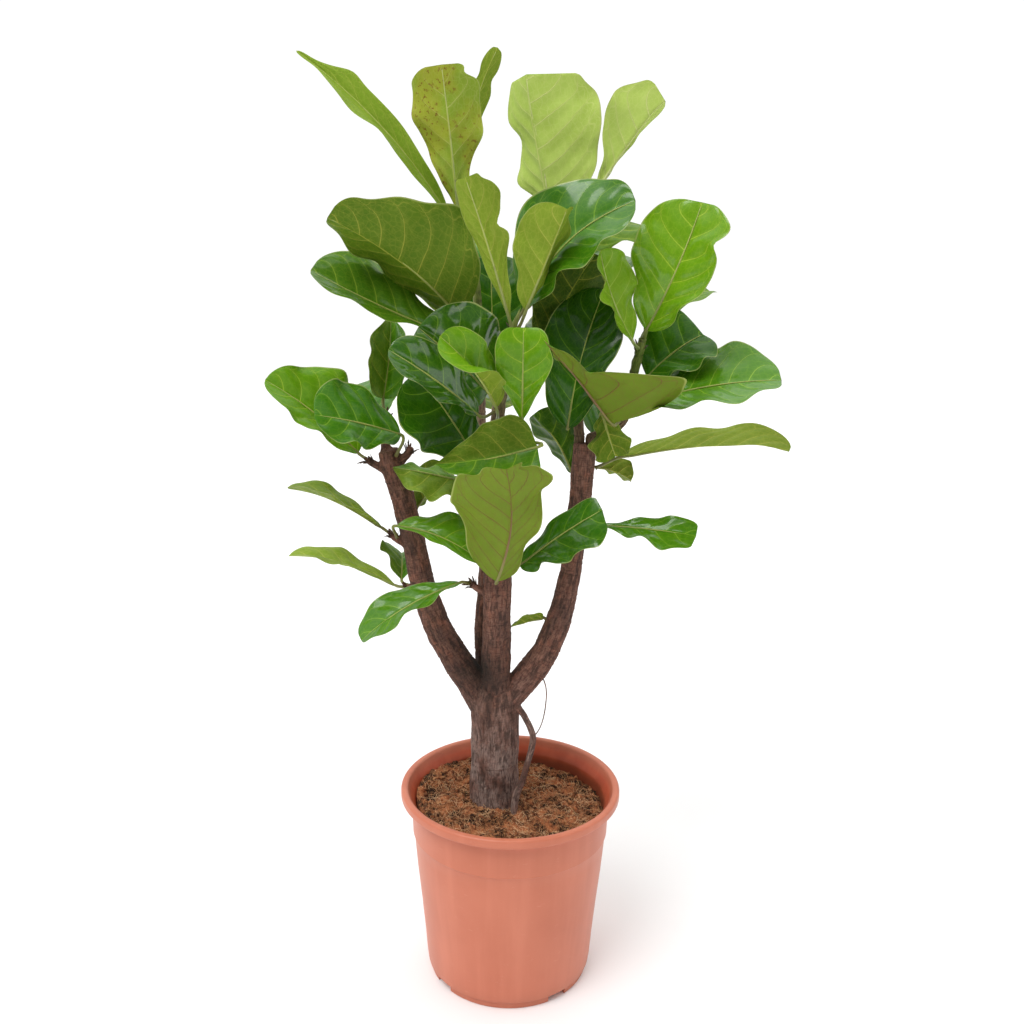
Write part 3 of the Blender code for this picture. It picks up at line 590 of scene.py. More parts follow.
# %% Centre lines of the wood
STUMP = (
    (-2.0, 0.5, 16.0, 3.1), (-2.0, 0.5, 21.0, 3.35), (-2.0, 0.4, 23.5, 3.05),
    (-2.0, 0.2, 30.0, 2.92), (-2.0, 0.0, 35.5, 2.95), (-2.0, 0.0, 37.8, 2.5), (-2.0, 0.0, 39.2, 1.5),
)
LEFT_LIMB = (
    (-2.9, 0.0, 34.5, 1.9), (-4.8, 0.0, 38.2, 1.9), (-7.0, 0.0, 41.5, 1.8), (-9.25, 0.0, 45.9, 1.6),
    (-10.7, 0.0, 50.9, 1.42), (-11.7, 0.0, 55.8, 1.35), (-12.8, 0.0, 60.6, 1.35), (-14.0, 0.0, 64.6, 1.3),
    (-14.5, 0.0, 66.5, 1.2),
)
CENTRE_LIMB = (
    (-2.0, -0.5, 35.0, 2.0), (-1.9, -1.2, 40.0, 1.75), (-1.8, -2.0, 45.0, 1.65), (-1.8, -2.5, 52.0, 1.6),
    (-2.0, -2.0, 60.0, 1.55), (-2.2, -1.0, 67.0, 1.4),
)
BACK_LIMB = (
    (-2.6, 1.2, 34.5, 1.4), (-3.3, 3.6, 42.0, 1.3), (-3.0, 6.8, 50.0, 1.25), (-3.1, 9.8, 58.0, 1.25),
    (-3.5, 11.8, 64.0, 1.2),
)
RIGHT_LIMB = (
    (-0.9, 0.0, 35.3, 1.8), (1.2, -0.3, 38.2, 1.7), (3.0, -0.5, 40.7, 1.65), (4.45, -0.2, 43.4, 1.58),
    (5.55, 0.0, 46.2, 1.46), (6.6, 0.0, 51.1, 1.3), (7.2, 0.0, 56.0, 1.28), (7.7, 0.0, 61.0, 1.28),
    (8.1, 0.0, 67.5, 1.3),
)
SPURS = {
    "left_low_spur": ((-10.3, 0.0, 49.6, 0.5), (-12.0, 0.0, 49.9, 0.45), (-12.7, 0.0, 50.0, 0.35)),
    "left_mid_spur": ((-11.8, 0.0, 55.0, 0.5), (-13.6, 0.0, 55.9, 0.45), (-14.3, 0.0, 56.5, 0.35)),
    "left_high_spur": ((-13.8, 0.0, 63.6, 0.55), (-16.0, 0.3, 64.7, 0.45), (-17.0, 0.4, 65.3, 0.4)),
    "left_top_spur": ((-14.6, 0.3, 65.5, 0.6), (-15.0, 1.0, 68.2, 0.5), (-15.0, 2.0, 70.3, 0.4)),
    "left_side_stub": ((-14.0, 0.0, 64.2, 0.6), (-12.3, -0.1, 66.0, 0.5), (-11.8, -0.1, 66.9, 0.45)),
    "centre_spur": ((-2.4, -2.4, 50.0, 0.5), (-4.0, -2.7, 50.8, 0.42), (-4.9, -3.0, 51.6, 0.35)),
}
AERIAL_ROOT = (
    (0.2, -0.9, 35.9, 0.45), (1.5, -1.5, 34.5, 0.42), (2.6, -2.0, 32.2, 0.4), (2.5, -2.1, 30.4, 0.4),
    (2.0, -2.3, 28.4, 0.4), (1.4, -2.6, 26.2, 0.42), (0.6, -2.9, 24.0, 0.48), (0.3, -3.1, 19.0, 0.4),
)
HAIR_ROOT = (
    (3.1, -0.6, 40.0, 0.1), (3.9, -1.3, 38.8, 0.08), (4.2, -1.5, 37.2, 0.07), (4.1, -1.6, 35.6, 0.07),
    (3.8, -1.7, 33.9, 0.07), (3.3, -1.8, 32.6, 0.07), (2.6, -2.0, 31.7, 0.09),
)
GAP = 0.03
print("centre lines of the stump, four limbs, two roots and", len(SPURS), "spurs")

# %% [markdown]
# The stems are swept as separate round tubes first. A voxel remesh then melts them into one skin, which is
# what growth does at a fork: there is no seam, only a fold. The hair root is too thin for it and comes
# later.

# %% Melt the wood into one skin
VOXEL = 0.17
stems = [STUMP, LEFT_LIMB, CENTRE_LIMB, BACK_LIMB, RIGHT_LIMB, *SPURS.values(), AERIAL_ROOT]
stems = [smooth_line(stem, 6) for stem in stems]
shape = swept(stems, 32)
wood = stand("wood", to_mesh("wood", shape))
melt = wood.modifiers.new("melt", "REMESH")
melt.mode, melt.voxel_size = "VOXEL", VOXEL * CM
relax = wood.modifiers.new("relax", "SMOOTH")
relax.factor, relax.iterations = 0.5, 4
wood_mesh = result_mesh(wood)
bpy.data.objects.remove(wood)
shape = bmesh.new()
shape.from_mesh(wood_mesh)
bpy.data.meshes.remove(wood_mesh)
print("wood melted into", len(shape.faces), "faces")

# %% [markdown]
# Bark has a direction: its furrows run along the limb, and the scars where a leaf or its sheath once sat
# run round it. So each point of the skin first learns which stem it lies on, how far along it lies, and
# which way it stands off the centre line. Both the relief and the colour are then laid out in those terms,
# and they bend with the limb.

# %% Where a point lies on the wood
def place_on_stems(points, stems):
    """For each point: the stem's number, the distance along it, the offset from its line, and its radius."""
    best = np.full(len(points), np.inf)
    found = np.zeros((len(points), 6))
    for number, stem in enumerate(stems):
        stem = np.array(stem, float)
        travelled = 0.0
        for low, high in zip(stem, stem[1:]):
            step = high[:3] - low[:3]
            length = np.linalg.norm(step)
            share = np.clip((points - low[:3]) @ step / length**2, 0, 1)
            offset = points - low[:3] - share[:, None] * step
            radius = low[3] + share * (high[3] - low[3])
            depth = np.linalg.norm(offset, axis=1) - radius
            nearer = depth < best
            best[nearer] = depth[nearer]
            rows = (np.full(len(points), number), travelled + share * length, *offset.T, radius)
            found[nearer] = np.column_stack(rows)[nearer]
            travelled += length
    return found


# %% Bark relief
SCAR_SPACING, GRAIN_SHIFT, HAIR_CRACK = 2.3, 17.3, 0.35
FORK, FORK_STRETCH, FORK_SPREAD = np.array([-3.5, -0.8, 40.6]), (0.9, 0.5, 0.7), 2.5


def ring_scars(rng, length, gap):
    """Distances along a stem at which an old scar goes round it."""
    marks, along = [], rng.uniform(0.3, 1.0) * gap
    while along < length:
        marks.append((along, rng.uniform(0.5, 1.0), rng.uniform(0, 50)))
        along += gap * rng.uniform(0.45, 1.6)
    return marks


def bark_relief(found, stems, furrow, scar, seed):
    """The height of the bark above the smooth stem in cm, and how deep in a crack each point lies, 0 to 1."""
    rng = np.random.default_rng(seed)
    steps = [np.diff(np.array(stem)[:, :3], axis=0) for stem in stems]
    marks = [ring_scars(rng, sum(np.linalg.norm(way, axis=1)), SCAR_SPACING) for way in steps]
    height, crack = np.zeros(len(found)), np.zeros(len(found))
    for index, (number, along, x, y, z, radius) in enumerate(found):
        shift = 13.7 * number
        grain = Vector((x + shift, y, z * 0.3 + along * 0.22))
        cord = noise.fractal(grain * 2.1, 0.9, 2.1, 4)
        crease = 1.0 - abs(noise.noise(grain * 3.0 + Vector((5, 2, 9)))) * 4.2
        fine = noise.fractal(Vector((x * 5 + shift, y * 5, along * 1.6)), 0.8, 2.0, 2)
        lump = noise.noise(Vector((x * 0.5 + shift, y * 0.5, along * 0.28)))
        scale = min(1.0, radius / 1.6)
        deep = max(0.0, crease)
        ring = 0.0
        for place, strength, wobble in marks[int(number)]:
            away = along - place - 0.12 * noise.noise(Vector((x * 0.9, y * 0.9, wobble)))
            if abs(away) < 0.5:
                ring += strength * (0.6 * math.exp(-(away - 0.16) ** 2 / 0.012) - math.exp(-away**2 / 0.004))
        furrows = furrow * (0.55 * cord - 0.5 * deep**2 + 0.22 * fine)
        height[index] = scale * (0.16 * lump + furrows + scar * ring)
        crack[index] = 0.5 + 1.1 * (0.55 * deep**2 - 0.7 * cord - 0.35 * fine - 0.3 * ring)
    return height, np.clip(crack, 0, 1)


def keep_on_bark(shape, found, crack, fork_shade):
    """Keeps where each point lies on its stem, how deep in a crack it lies, and how much painted fork shade
    it takes, for the bark material.
    """
    grain_layer = shape.verts.layers.float_vector.new("grain")
    crack_layer, fork_shade_layer = (shape.verts.layers.float.new(key) for key in ("crack", "fork_shade"))
    for vert, (number, along, x, y, *_), deep, dark in zip(shape.verts, found, crack, fork_shade):
        vert[grain_layer] = (x + GRAIN_SHIFT * number, y, along)
        vert[crack_layer] = deep
        vert[fork_shade_layer] = dark


points = points_of(shape)
found = place_on_stems(points, stems)
height, crack = bark_relief(found, stems, furrow=0.145, scar=0.1, seed=5)
# Painted shade for the fork between the limbs: strongest at the fork and fading over a few centimetres.
from_fork = np.linalg.norm((points - FORK) * FORK_STRETCH, axis=1)
keep_on_bark(shape, found, crack, np.exp(-((from_fork / FORK_SPREAD) ** 2)))
shape.normal_update()
normals = [vert.normal.copy() for vert in shape.verts]
for vert, normal, high in zip(shape.verts, normals, height):
    vert.co += normal * high * CM
print("bark relief from", round(height.min(), 2), "to", round(height.max(), 2), "cm")

# %% [markdown]
# The bark colour is a reddish brown with greyer, paler ridges low on the stump, painted shade that darkens
# the deepest cracks nearly to black, painted shade that darkens the fork between the limbs, and tiny pale
# breathing pores that stretch round the limb. These come from a node group, because the trunk and the roots
# share them.

# %% Bark pattern group
tree, outputs = new_group("bark_pattern", [("Color", "Color"), ("Height", "Float")])
grain = tree.attribute("grain")
crack, fork_shade = tree.attribute("crack", "Fac"), tree.attribute("fork_shade", "Fac")
height = tree.split(tree.place())[2]
strands = tree.noise(tree.stretch(grain, 3.4, 3.4, 0.5), 1.9, 6.0, 0.66, 0.3)
wrinkles = tree.noise(tree.stretch(grain, 0.8, 0.8, 4.6), 1.5, 4.0, 0.62, 0.2)
flakes = tree.noise(tree.stretch(grain, 1.0, 1.0, 0.5), 1.3, 4.0, 0.6)
pores = tree.node("TexVoronoi", {"Vector": tree.stretch(grain, 1.6, 1.6, 4.6), "Scale": 1.5})
pore = tree.span(pores.outputs["Distance"], 0.16, 0.06)
patch = tree.noise(tree.stretch(grain, 1, 1, 0.6), 0.42, 3.0, 0.5)
low = tree.times(tree.span(height, 0.42, 0.24), tree.span(patch, 0.3, 0.62))
grey = tree.mix(tree.span(strands, 0.3, 0.64), (0.11, 0.08, 0.068), (0.42, 0.335, 0.295))
colour = tree.layers(
    tree.mix(tree.span(strands, 0.32, 0.68), (0.095, 0.041, 0.029), (0.29, 0.143, 0.1)),
    (tree.span(flakes, 0.45, 0.7), 0.6, (0.34, 0.13, 0.08)),
    (tree.span(wrinkles, 0.52, 0.36), 0.55, (0.06, 0.028, 0.021)),
    (low, 0.75, grey),
    (tree.span(patch, 0.52, 0.34), 0.5, (0.07, 0.042, 0.034)),
    # Painted shade: the deepest cracks, where the relief is lowest, are darkened nearly to black.
    (tree.span(crack, 0.6, 1.0), 0.6, (0.035, 0.021, 0.016)),
    # Painted shade: the fork between the limbs is darkened nearly to black.
    (fork_shade, 0.95, (0.013, 0.01, 0.007)),
    (pore, 0.3, (0.42, 0.3, 0.22)),
)
tree.put(outputs.inputs["Color"], colour)
relief = tree.plus(tree.blend(0.4, strands, wrinkles), tree.times(pore, 0.1))
tree.put(outputs.inputs["Height"], relief)

bark, tree, shader = new_material("fig_bark", 0.82, Specular_IOR_Level=0.3)
pattern = tree.node("Group", node_tree=bpy.data.node_groups["bark_pattern"])
tree.put(shader.inputs["Base Color"], pattern.outputs["Color"])
add_bump(tree, shader, pattern.outputs["Height"], 0.9, 0.0028)
add_piece("woody_trunk", shape, bark, ["trunk"])

# %% [markdown]
# A single hair root hangs from the right limb and has grown onto the thick aerial root. It is thinner than
# the remesh could keep, so it is swept on its own.

# %% Hair root
hair = [smooth_line(HAIR_ROOT, 6)]
shape = swept(hair, 8)
found = place_on_stems(points_of(shape), hair)
keep_on_bark(shape, found, np.full(len(found), HAIR_CRACK), np.zeros(len(found)))
for vert in shape.verts:
    vert.co += Vector(noise.noise_vector(vert.co * 60)) * 0.0006
add_piece("hair_root", shape, bark)

# %% [markdown]
# ## Leafy shoots
#
# Three of the limbs end in one or two green shoots, which carry most of the leaves. A shoot is not a plain
# rod: it swells where a leaf sits, and each fallen leaf has left a dark scar round it. It is woody brown at
# its foot and green at its tip. The centre lines start on the cut ends of the limbs, a hair clear of them.

# %% Shoot lines
SHOOT_COLLAR = 0.6
SHOOTS = {
    "left_shoot": ("back_limb", (-0.62, -0.1), 0.58, (
        (-4.1, 10.4, 68.0, 0.58), (-4.1, 7.0, 73.0, 0.55), (-4.2, 3.6, 78.5, 0.52),
        (-4.6, 2.3, 86.0, 0.48), (-6.0, 2.0, 91.0, 0.42),
    )),
    "back_shoot": ("back_limb", (0.62, 0.1), 0.55, (
        (-2.4, 13.4, 68.5, 0.55), (-1.2, 13.8, 75.0, 0.5), (0.2, 12.8, 82.5, 0.4),
    )),
    "centre_shoot": ("centre_limb", (0.0, 0.0), 0.7, (
        (-1.9, -0.9, 70.5, 0.66), (-1.2, -1.8, 75.0, 0.58), (-0.2, -2.9, 80.8, 0.45),
    )),
    "top_shoot": ("right_limb", (-0.68, 0.2), 0.6, (
        (7.2, 1.2, 71.0, 0.58), (6.3, 3.6, 78.0, 0.52), (6.3, 4.4, 85.0, 0.46), (7.2, 4.6, 91.5, 0.4),
    )),
    "right_shoot": ("right_limb", (0.68, -0.1), 0.62, (
        (9.8, -0.1, 68.6, 0.6), (12.2, -0.1, 70.2, 0.58), (13.2, -0.4, 75.0, 0.52), (14.1, -1.0, 79.5, 0.42),
    )),
}


def shoot_line(limb, offset, radius, points):
    """A shoot's centre line: straight off the limb's cut end, clear of it by the gap, then on."""
    below, end = np.array(limb[-2][:3]), np.array(limb[-1][:3])
    along = unit(end - below)
    right = unit(np.array([1.0, 0.0, 0.0]) - along * along[0])
    start = end + along * GAP + right * offset[0] + np.cross(along, right) * offset[1]
    collar = start + along * SHOOT_COLLAR
    return [(*start, radius), *smooth_line([(*collar, radius), *points])]


twigs = {
    "left_limb": LEFT_LIMB, "centre_limb": CENTRE_LIMB, "back_limb": BACK_LIMB, "right_limb": RIGHT_LIMB,
    **SPURS,
}
for name, (limb, offset, radius, shoot_points) in SHOOTS.items():
    twigs[name] = shoot_line(twigs[limb], offset, radius, shoot_points)
twigs = {name: np.array(line, float) for name, line in twigs.items()}


def at_height(line, height):
    """The point and radius of a line at a height above the floor, in cm, and its direction there."""
    above = next((i for i in range(1, len(line)) if line[i][2] >= height), len(line) - 1)
    low, high = line[above - 1], line[above]
    share = min(1.0, (height - low[2]) / (high[2] - low[2]))
    return low + (high - low) * share, unit((high - low)[:3])


# %% [markdown]
# ## The rows of the leaves
#
# Every leaf is one row: its twig, the height on the twig where its stalk starts, the base and tip of its
# blade, the way its upper side faces, and the half widths left and right of the midrib, seen from above
# with the base towards the reader. The words after that bend the blade: fold of each half in degrees, arch
# and sway as parts of the length, and body, two powers that set how full the base and the tip are. The
# imported solids were built by the same rules from plainer rows. The leaves here stand on the same twigs and
# stay in the same box, but some tips, folds and widths are finer than in the solids, by up to a few
# centimetres.
#
# Further words stand where a leaf needs them. Opens adds to the fold of each half towards the tip, and
# twist turns the blade round its midrib, both in degrees. Curl bends the tip down and hook bends it
# sideways, each from a place on the midrib and by so many centimetres. Edge dents or swells the margin: its
# side, the place, the spread and the share of the width. Wave is how far the margin swings up and down in
# cm, and quilt scales the bulges between the veins.
#
# The rows also say how the leaf looks. Age goes from 0, an old leaf that is dark blue-green, to 1, one that
# has just opened and is yellow-green. Leaves 14, 20, 21, 31, 48 and 51 sit deep in the crown or at the back;
# they are old and dark, and their low ages also paint the shade they stand in. The side swap paints the upper
# side of a half like the paler underside, or, below zero, its underside like the upper side; on leaf 5 it
# stands for a painted grey sheen, and on leaves 15 and 31 for painted shade. Rib turns the veins and the
# midrib of the underside brown, gloss strengthens the wax of the upper side, and specks are brown spots.

# %% Leaf rows
LEAVES = {}


def leaf(number, twig, height, base, tip, faces, halves, age=0.2, **shape):
    LEAVES[number] = dict(
        twig=twig, height=height, base=base, tip=tip, faces=faces, halves=halves, age=age, **shape
    )


# Upper left
leaf(1, "left_shoot", 90.0, (-7.5, 2, 92.3), (-23.4, 0, 109), (0.7, -0.4, 0.7), (2.9, 1.9), 0.68,
     fold=(5, 45), arch=0.06, body=(0.7, 0.6), dull=(0.7, 0.7), edge=((-1, 0.93, 0.09, -0.6),
     (1, 0.93, 0.09, -0.5), (1, 0.76, 0.06, 0.3)))
leaf(2, "left_shoot", 91.5, (-6.4, 0, 93), (-8, -2, 107.5), (0.1, 1, 0.2), (4, 4), 0.75, fold=(25, 15),
     arch=0.03, body=(0.9, 0.3), specks=1.0, wave=0.6, edge=((-1, 0.93, 0.04, -0.3), (1, 0.9, 0.05, 0.1)))
leaf(3, "left_shoot", 89.0, (-6.5, 3.9, 94.2), (-2.3, 5, 110.38), (-0.3, 0.9, 0.2), (1.5, 1.1), 0.66,
     fold=(10, 10), arch=0.03, sway=0.05, body=(0.9, 0.35), edge=((-1, 0.8, 0.06, -0.35),
     (1, 0.8, 0.06, -0.35)))
leaf(4, "left_shoot", 80.0, (-6.5, -1, 82), (-19.6, -6, 92), (0.3, 0.9, 0.4), (6.9, 5), 0.27, fold=(8, 25),
     arch=0.03, sway=-0.05, body=(0.45, 0.44), wave=0.5, edge=((-1, 0.84, 0.12, -0.26), (-1, 0.3, 0.2, 0.42),
     (1, 0.9, 0.08, -0.25)))
# Leaf 5: the upper side takes some of the paler underside colour as a painted grey sheen.
leaf(5, "left_shoot", 78.0, (-7, -1.6, 79.7), (-22, -3.5, 86.6), (-0.1, -0.45, 0.9), (4, 5.5), 0.24,
     arch=-0.02, dull=(0.35, 0.35), gloss=0.9, wave=0.3)
leaf(6, "left_shoot", 76.0, (-2.6, 5.8, 77.5), (-3, 8, 88), (0, -0.9, 0.3), (4.5, 4.5), 0.14)
# Upper middle
leaf(7, "centre_shoot", 79.2, (-0.6, -5, 81.5), (-5.2, -9, 95.9), (0.2, 0.9, 0.3), (3.0, 2), 0.66,
     fold=(45, 20), arch=0.03, body=(1, 0.25), edge=((-1, 0.64, 0.05, -0.4), (-1, 0.8, 0.06, 0.2),
     (-1, 0.96, 0.05, -0.3)))
leaf(8, "centre_shoot", 81.5, (1, -2, 83), (12.2, -6, 94), (-0.15, -0.7, 0.7), (5.8, 4.8), 0.26, fold=(8, 10),
     arch=0.08, sway=-0.08, body=(0.6, 0.45), gloss=0.6, wave=0.45, edge=((-1, 0.34, 0.2, 0.5),
     (-1, 0.88, 0.09, -0.15)))
leaf(9, "centre_shoot", 80.2, (1.1, -4.8, 82.7), (5, -9.5, 93), (0.2, 0.9, 0.3), (3, 4.2), 0.64, fold=(75, 5),
     arch=0.05, wave=0.5)
leaf(10, "centre_shoot", 70.5, (0.8, -5.5, 71), (0.8, -9, 81), (0, -1, 0.2), (3.1, 3.1), 0.58, fold=(14, 16),
     arch=0.05, body=(1, 0.3), curl=(0.85, 0.5))
leaf(11, "centre_shoot", 69.5, (-2, -6.2, 72.4), (-7.6, -12.5, 80.5), (0.6, -0.7, 0.3), (3.6, 2.9), 0.6,
     fold=(150, 14), opens=(-130, 0), arch=0.08, wave=0.45, twist=-20)
leaf(12, "centre_shoot", 73.0, (-3, -2.9, 73.6), (-10.3, -6.4, 80.9), (0.2, -0.9, 0.4), (4.8, 6.3), 0.16,
     arch=0.06, body=(0.42, 0.4), gloss=2.0, wave=0.45, fold=(15, 22))
leaf(13, "centre_shoot", 71.3, (-4, -5.4, 71.5), (-12.9, -11.5, 79), (0.1, -0.8, 0.5), (2.2, 3.2), 0.13,
     arch=0.06, gloss=1.4, wave=0.55)
# Leaf 14 sits deep in the crown; its low age also paints the shade there.
leaf(14, "centre_shoot", 69.0, (-4.8, -2.8, 66.9), (-10.8, -4.2, 76), (0.3, -0.8, 0.5), (6.8, 3.6), 0.12,
     arch=0.05, body=(0.5, 0.35), gloss=0.3, wave=0.45)
# Leaf 15: the underside of its right half takes the darker upper green as painted shade.
leaf(15, "centre_shoot", 68.0, (2.5, -7, 68.3), (-8.4, -10, 66.9), (0.1, 0.75, -0.45), (4, 5), 0.33,
     fold=(-20, -20), arch=0.1, body=(0.28, 0.95), dull=(0, -0.8), edge=((-1, 0.3, 0.2, 0.25),), wave=0.5)
leaf(16, "centre_limb", 64.0, (-4.9, -3, 63.4), (-13.5, -4, 65.3), (0, 0.3, 1), (3.9, 3.0), 0.5,
     body=(0.55, 0.75), fold=(-55, 20), arch=0.02, dull=(0.8, 0.2), wave=0.5)
# Top right
leaf(17, "top_shoot", 85.0, (3.8, 3, 88.5), (0.0, 5.5, 107.6), (-0.1, 0.95, 0.1), (7.9, 4.2), 0.88,
     fold=(0, 60), arch=0.02, sway=-0.05, hook=(0.7, -0.9), body=(0.7, 0.13), wave=0.6, quilt=1.9,
     edge=((-1, 0.95, 0.07, -0.14), (1, 0.5, 0.16, 0.38), (1, 0.72, 0.06, -0.2)))
leaf(18, "top_shoot", 92.0, (8.7, 5, 95.2), (16.3, 7, 105.6), (-0.6, 0.7, 0.1), (1.1, 5.0), 0.9,
     fold=(15, 25), arch=0.02, body=(1.3, 0.3), hook=(0.8, -0.5), wave=0.45, quilt=1.5,
     edge=((1, 0.92, 0.1, -0.25), (-1, 0.55, 0.2, -0.4)))
leaf(19, "top_shoot", 88.0, (8, 6, 89), (13.2, 9, 92.3), (0, -0.6, 0.8), (4.2, 5.6), 0.3, dull=(0.6, 0.6))
# Leaves 20 and 21 sit deep in the crown; their low ages also paint the shade there.
leaf(20, "top_shoot", 79.0, (3.2, 0.7, 78), (8.6, -1, 88.6), (-0.2, 0.9, 0.3), (5.4, 4.9), 0.06)
leaf(21, "top_shoot", 71.5, (6.0, -1.6, 69.6), (9.9, 1.2, 84.8), (-0.3, -0.8, 0.4), (4.9, 4.4), 0.05,
     body=(0.6, 0.5), gloss=0.15, wave=0.45)
# Right
leaf(22, "right_shoot", 80.0, (14.3, -2.4, 80.6), (19.4, -4, 94), (-0.3, -0.9, 0.25), (5.4, 4.5), 0.66,
     fold=(6, 18), arch=0.06, sway=0.04, body=(0.62, 0.36), gloss=0.8, wave=0.5, quilt=1.4,
     edge=((1, 0.74, 0.05, -0.2), (1, 0.88, 0.06, 0.12)))
leaf(23, "right_shoot", 78.2, (12.7, -3.2, 79.5), (8.8, -5, 89), (0.5, -0.5, 0.3), (3.3, 3.5), 0.82,
     fold=(20, 20), arch=-0.05, wave=0.55)
leaf(24, "right_shoot", 77.0, (15.5, 3.5, 80.5), (23.2, 10, 84.4), (0, -0.4, 0.9), (2.5, 2.5), 0.35,
     dull=(0.5, 0.5))
leaf(25, "right_shoot", 74.0, (14.9, 0, 75.2), (21.2, 1.5, 79.9), (-0.3, -0.7, 0.6), (5.2, 4.8), 0.16,
     wave=0.5)
leaf(26, "right_shoot", 71.5, (14.3, -2, 72.6), (28.8, -5, 75.6), (0, -0.4, 0.9), (6.2, 6.4), 0.38,
     fold=(10, 10), arch=0.05, body=(0.45, 0.42), gloss=0.3, wave=0.6, edge=((1, 0.34, 0.2, 0.2),
     (1, 0.84, 0.12, -0.28), (-1, 0.36, 0.08, -0.2), (-1, 0.75, 0.12, 0.06)))
leaf(27, "right_limb", 64.0, (12.4, 0, 66), (31.88, 2, 67.2), (0, 0.45, 0.9), (5, 4.6), 0.57, fold=(18, 12),
     arch=0.035, body=(0.5, 0.45), curl=(0.75, 0.8), wave=0.35, dull=(0.6, 0.6))
leaf(28, "right_shoot", 70.3, (10.7, -3.5, 70.4), (2.8, -11.5, 80.2), (0.21, 0.67, 0.71), (10, 4), 0.49,
     fold=(2, 60), arch=0.02, body=(0.5, 2.2), rib=1.0, wave=0.5, edge=((-1, 0.29, 0.1, 0.4),
     (-1, 0.54, 0.13, -0.55)))
leaf(29, "right_shoot", 68.4, (9.8, -2.2, 71.2), (11.2, -4.6, 66.9), (0, 0.8, -0.2), (2.7, 2.4), 0.27,
     fold=(35, 20), wave=0.6)
leaf(30, "right_limb", 64.8, (9.8, 2.8, 64.2), (13.8, 2.0, 62.8), (0, 0.6, 0.7), (2.3, 2.3), 0.5)
# Leaf 31: its underside takes the darker upper green as painted shade, and its low age is painted shade too.
leaf(31, "right_limb", 62.0, (6.9, 3.2, 63.4), (2.2, 5, 70.0), (0, 0.6, 0.7), (3.4, 3.4), 0.1,
     dull=(-0.7, -0.7))
# Low on the limbs
leaf(32, "right_limb", 45.6, (3.7, -0.3, 46.5), (-0.2, -0.9, 45.5), (0, 0.35, 0.9), (2.6, 2.6), 0.4,
     arch=0.03, body=(0.35, 0.8), wave=0.1, dull=(0.7, 0.7))
leaf(33, "centre_limb", 53.0, (0.8, -3.4, 53.9), (9.8, -6, 61.2), (0, -0.6, 0.8), (2.2, 4.2), 0.18,
     fold=(10, 5), arch=0.04, body=(0.5, 0.15), gloss=0.5, wave=0.5)
leaf(34, "right_limb", 56.0, (9.8, -1, 58.1), (20.5, -5, 58), (-0.1, -0.4, 0.9), (2.1, 3.3), 0.34,
     fold=(15, 5), arch=0.03, body=(0.9, 0.2), gloss=0.5, wave=0.6)
leaf(35, "centre_limb", 51.5, (-1.8, -6.2, 52.8), (-0.8, -15.5, 67.6), (0, 0.95, 0.3), (4.2, 7), 0.55,
     fold=(26, 20), arch=0.03, sway=-0.06, body=(0.5, 0.3), rib=1.0, wave=0.6, edge=((1, 0.93, 0.1, -0.4),
     (1, 0.35, 0.12, 0.1), (-1, 0.8, 0.06, 0.2), (-1, 0.95, 0.03, -0.4), (-1, 0.45, 0.14, -0.15)))
leaf(36, "left_mid_spur", 55.9, (-13.3, -3, 58.3), (-3.4, -5.2, 54.7), (0, -0.5, 0.9), (3.4, 1.7), 0.5,
     arch=0.12, gloss=0.3)
leaf(37, "left_limb", 57.5, (-11.4, 2.6, 59.2), (-7.4, 4, 63.2), (0, 0.6, 0.7), (3.3, 3.3), 0.3)
leaf(38, "left_mid_spur", 57.0, (-15.4, 0.3, 57.2), (-26, 0, 62.2), (0.2, 0.12, 0.95), (3.5, 3.5), 0.52,
     fold=(12, 12), arch=0.05, dull=(0.85, 0.85), wave=0.3, curl=(0.7, 0.4))
leaf(39, "left_low_spur", 50.5, (-13.8, -0.3, 50.3), (-26.2, 0, 54.2), (0.2, 0.08, 0.95), (3.5, 3.5), 0.69,
     fold=(8, 8), arch=0.05, dull=(0.9, 0.9), wave=0.25, curl=(0.7, 0.5))
leaf(40, "left_low_spur", 49.8, (-13.4, 2.4, 50.2), (-14, 8.4, 51.8), (0.2, -0.8, 0.6), (3.4, 3), 0.32,
     fold=(30, 30), dull=(0.6, 0))
leaf(41, "centre_spur", 52.0, (-6, -4.2, 52), (-16.9, -8, 46.3), (-0.3, -0.32, 0.9), (3.4, 3.3), 0.34,
     fold=(15, 10), arch=0.07, gloss=0.35, wave=0.45)
# Left
leaf(42, "left_high_spur", 66.0, (-18, 0.6, 66), (-28, -1, 74.5), (0.2, -0.7, 0.7), (3.5, 5.4), 0.56,
     fold=(25, 5), arch=0.03, sway=0.03, body=(0.6, 0.55), wave=0.5, edge=((1, 0.84, 0.1, -0.12),
     (1, 0.5, 0.14, 0.16)))
leaf(43, "left_limb", 64.6, (-12.7, -2.8, 68.8), (-21.3, -8, 71.7), (0, -0.65, 0.75), (3.8, 5.2), 0.25,
     fold=(0, 8), arch=0.04, body=(0.6, 0.4), wave=0.45)
leaf(44, "left_top_spur", 71.0, (-15.3, 3.2, 72), (-14.6, 6, 81), (0.3, -0.7, 0.3), (3.5, 2.9), 0.32,
     fold=(30, 40), body=(0.5, 0.8), dull=(0.7, 0.1))
leaf(45, "left_top_spur", 69.0, (-15.8, 4, 69.5), (-20.5, 14, 72), (0.1, -0.2, 1), (4.5, 4.5), 0.25,
     arch=0.08)
# Back
leaf(46, "back_shoot", 81.0, (2, 15, 82.5), (8.5, 24, 92.5), (-0.4, -0.5, 0.75), (5.5, 5.5), 0.4, arch=0.08,
     gloss=0.4, wave=0.5)
leaf(47, "back_shoot", 79.0, (-2.6, 15.5, 80.2), (-11.5, 21, 89.5), (0.4, -0.5, 0.8), (5.5, 5.5), 0.34,
     arch=0.08, gloss=0.4, wave=0.5)
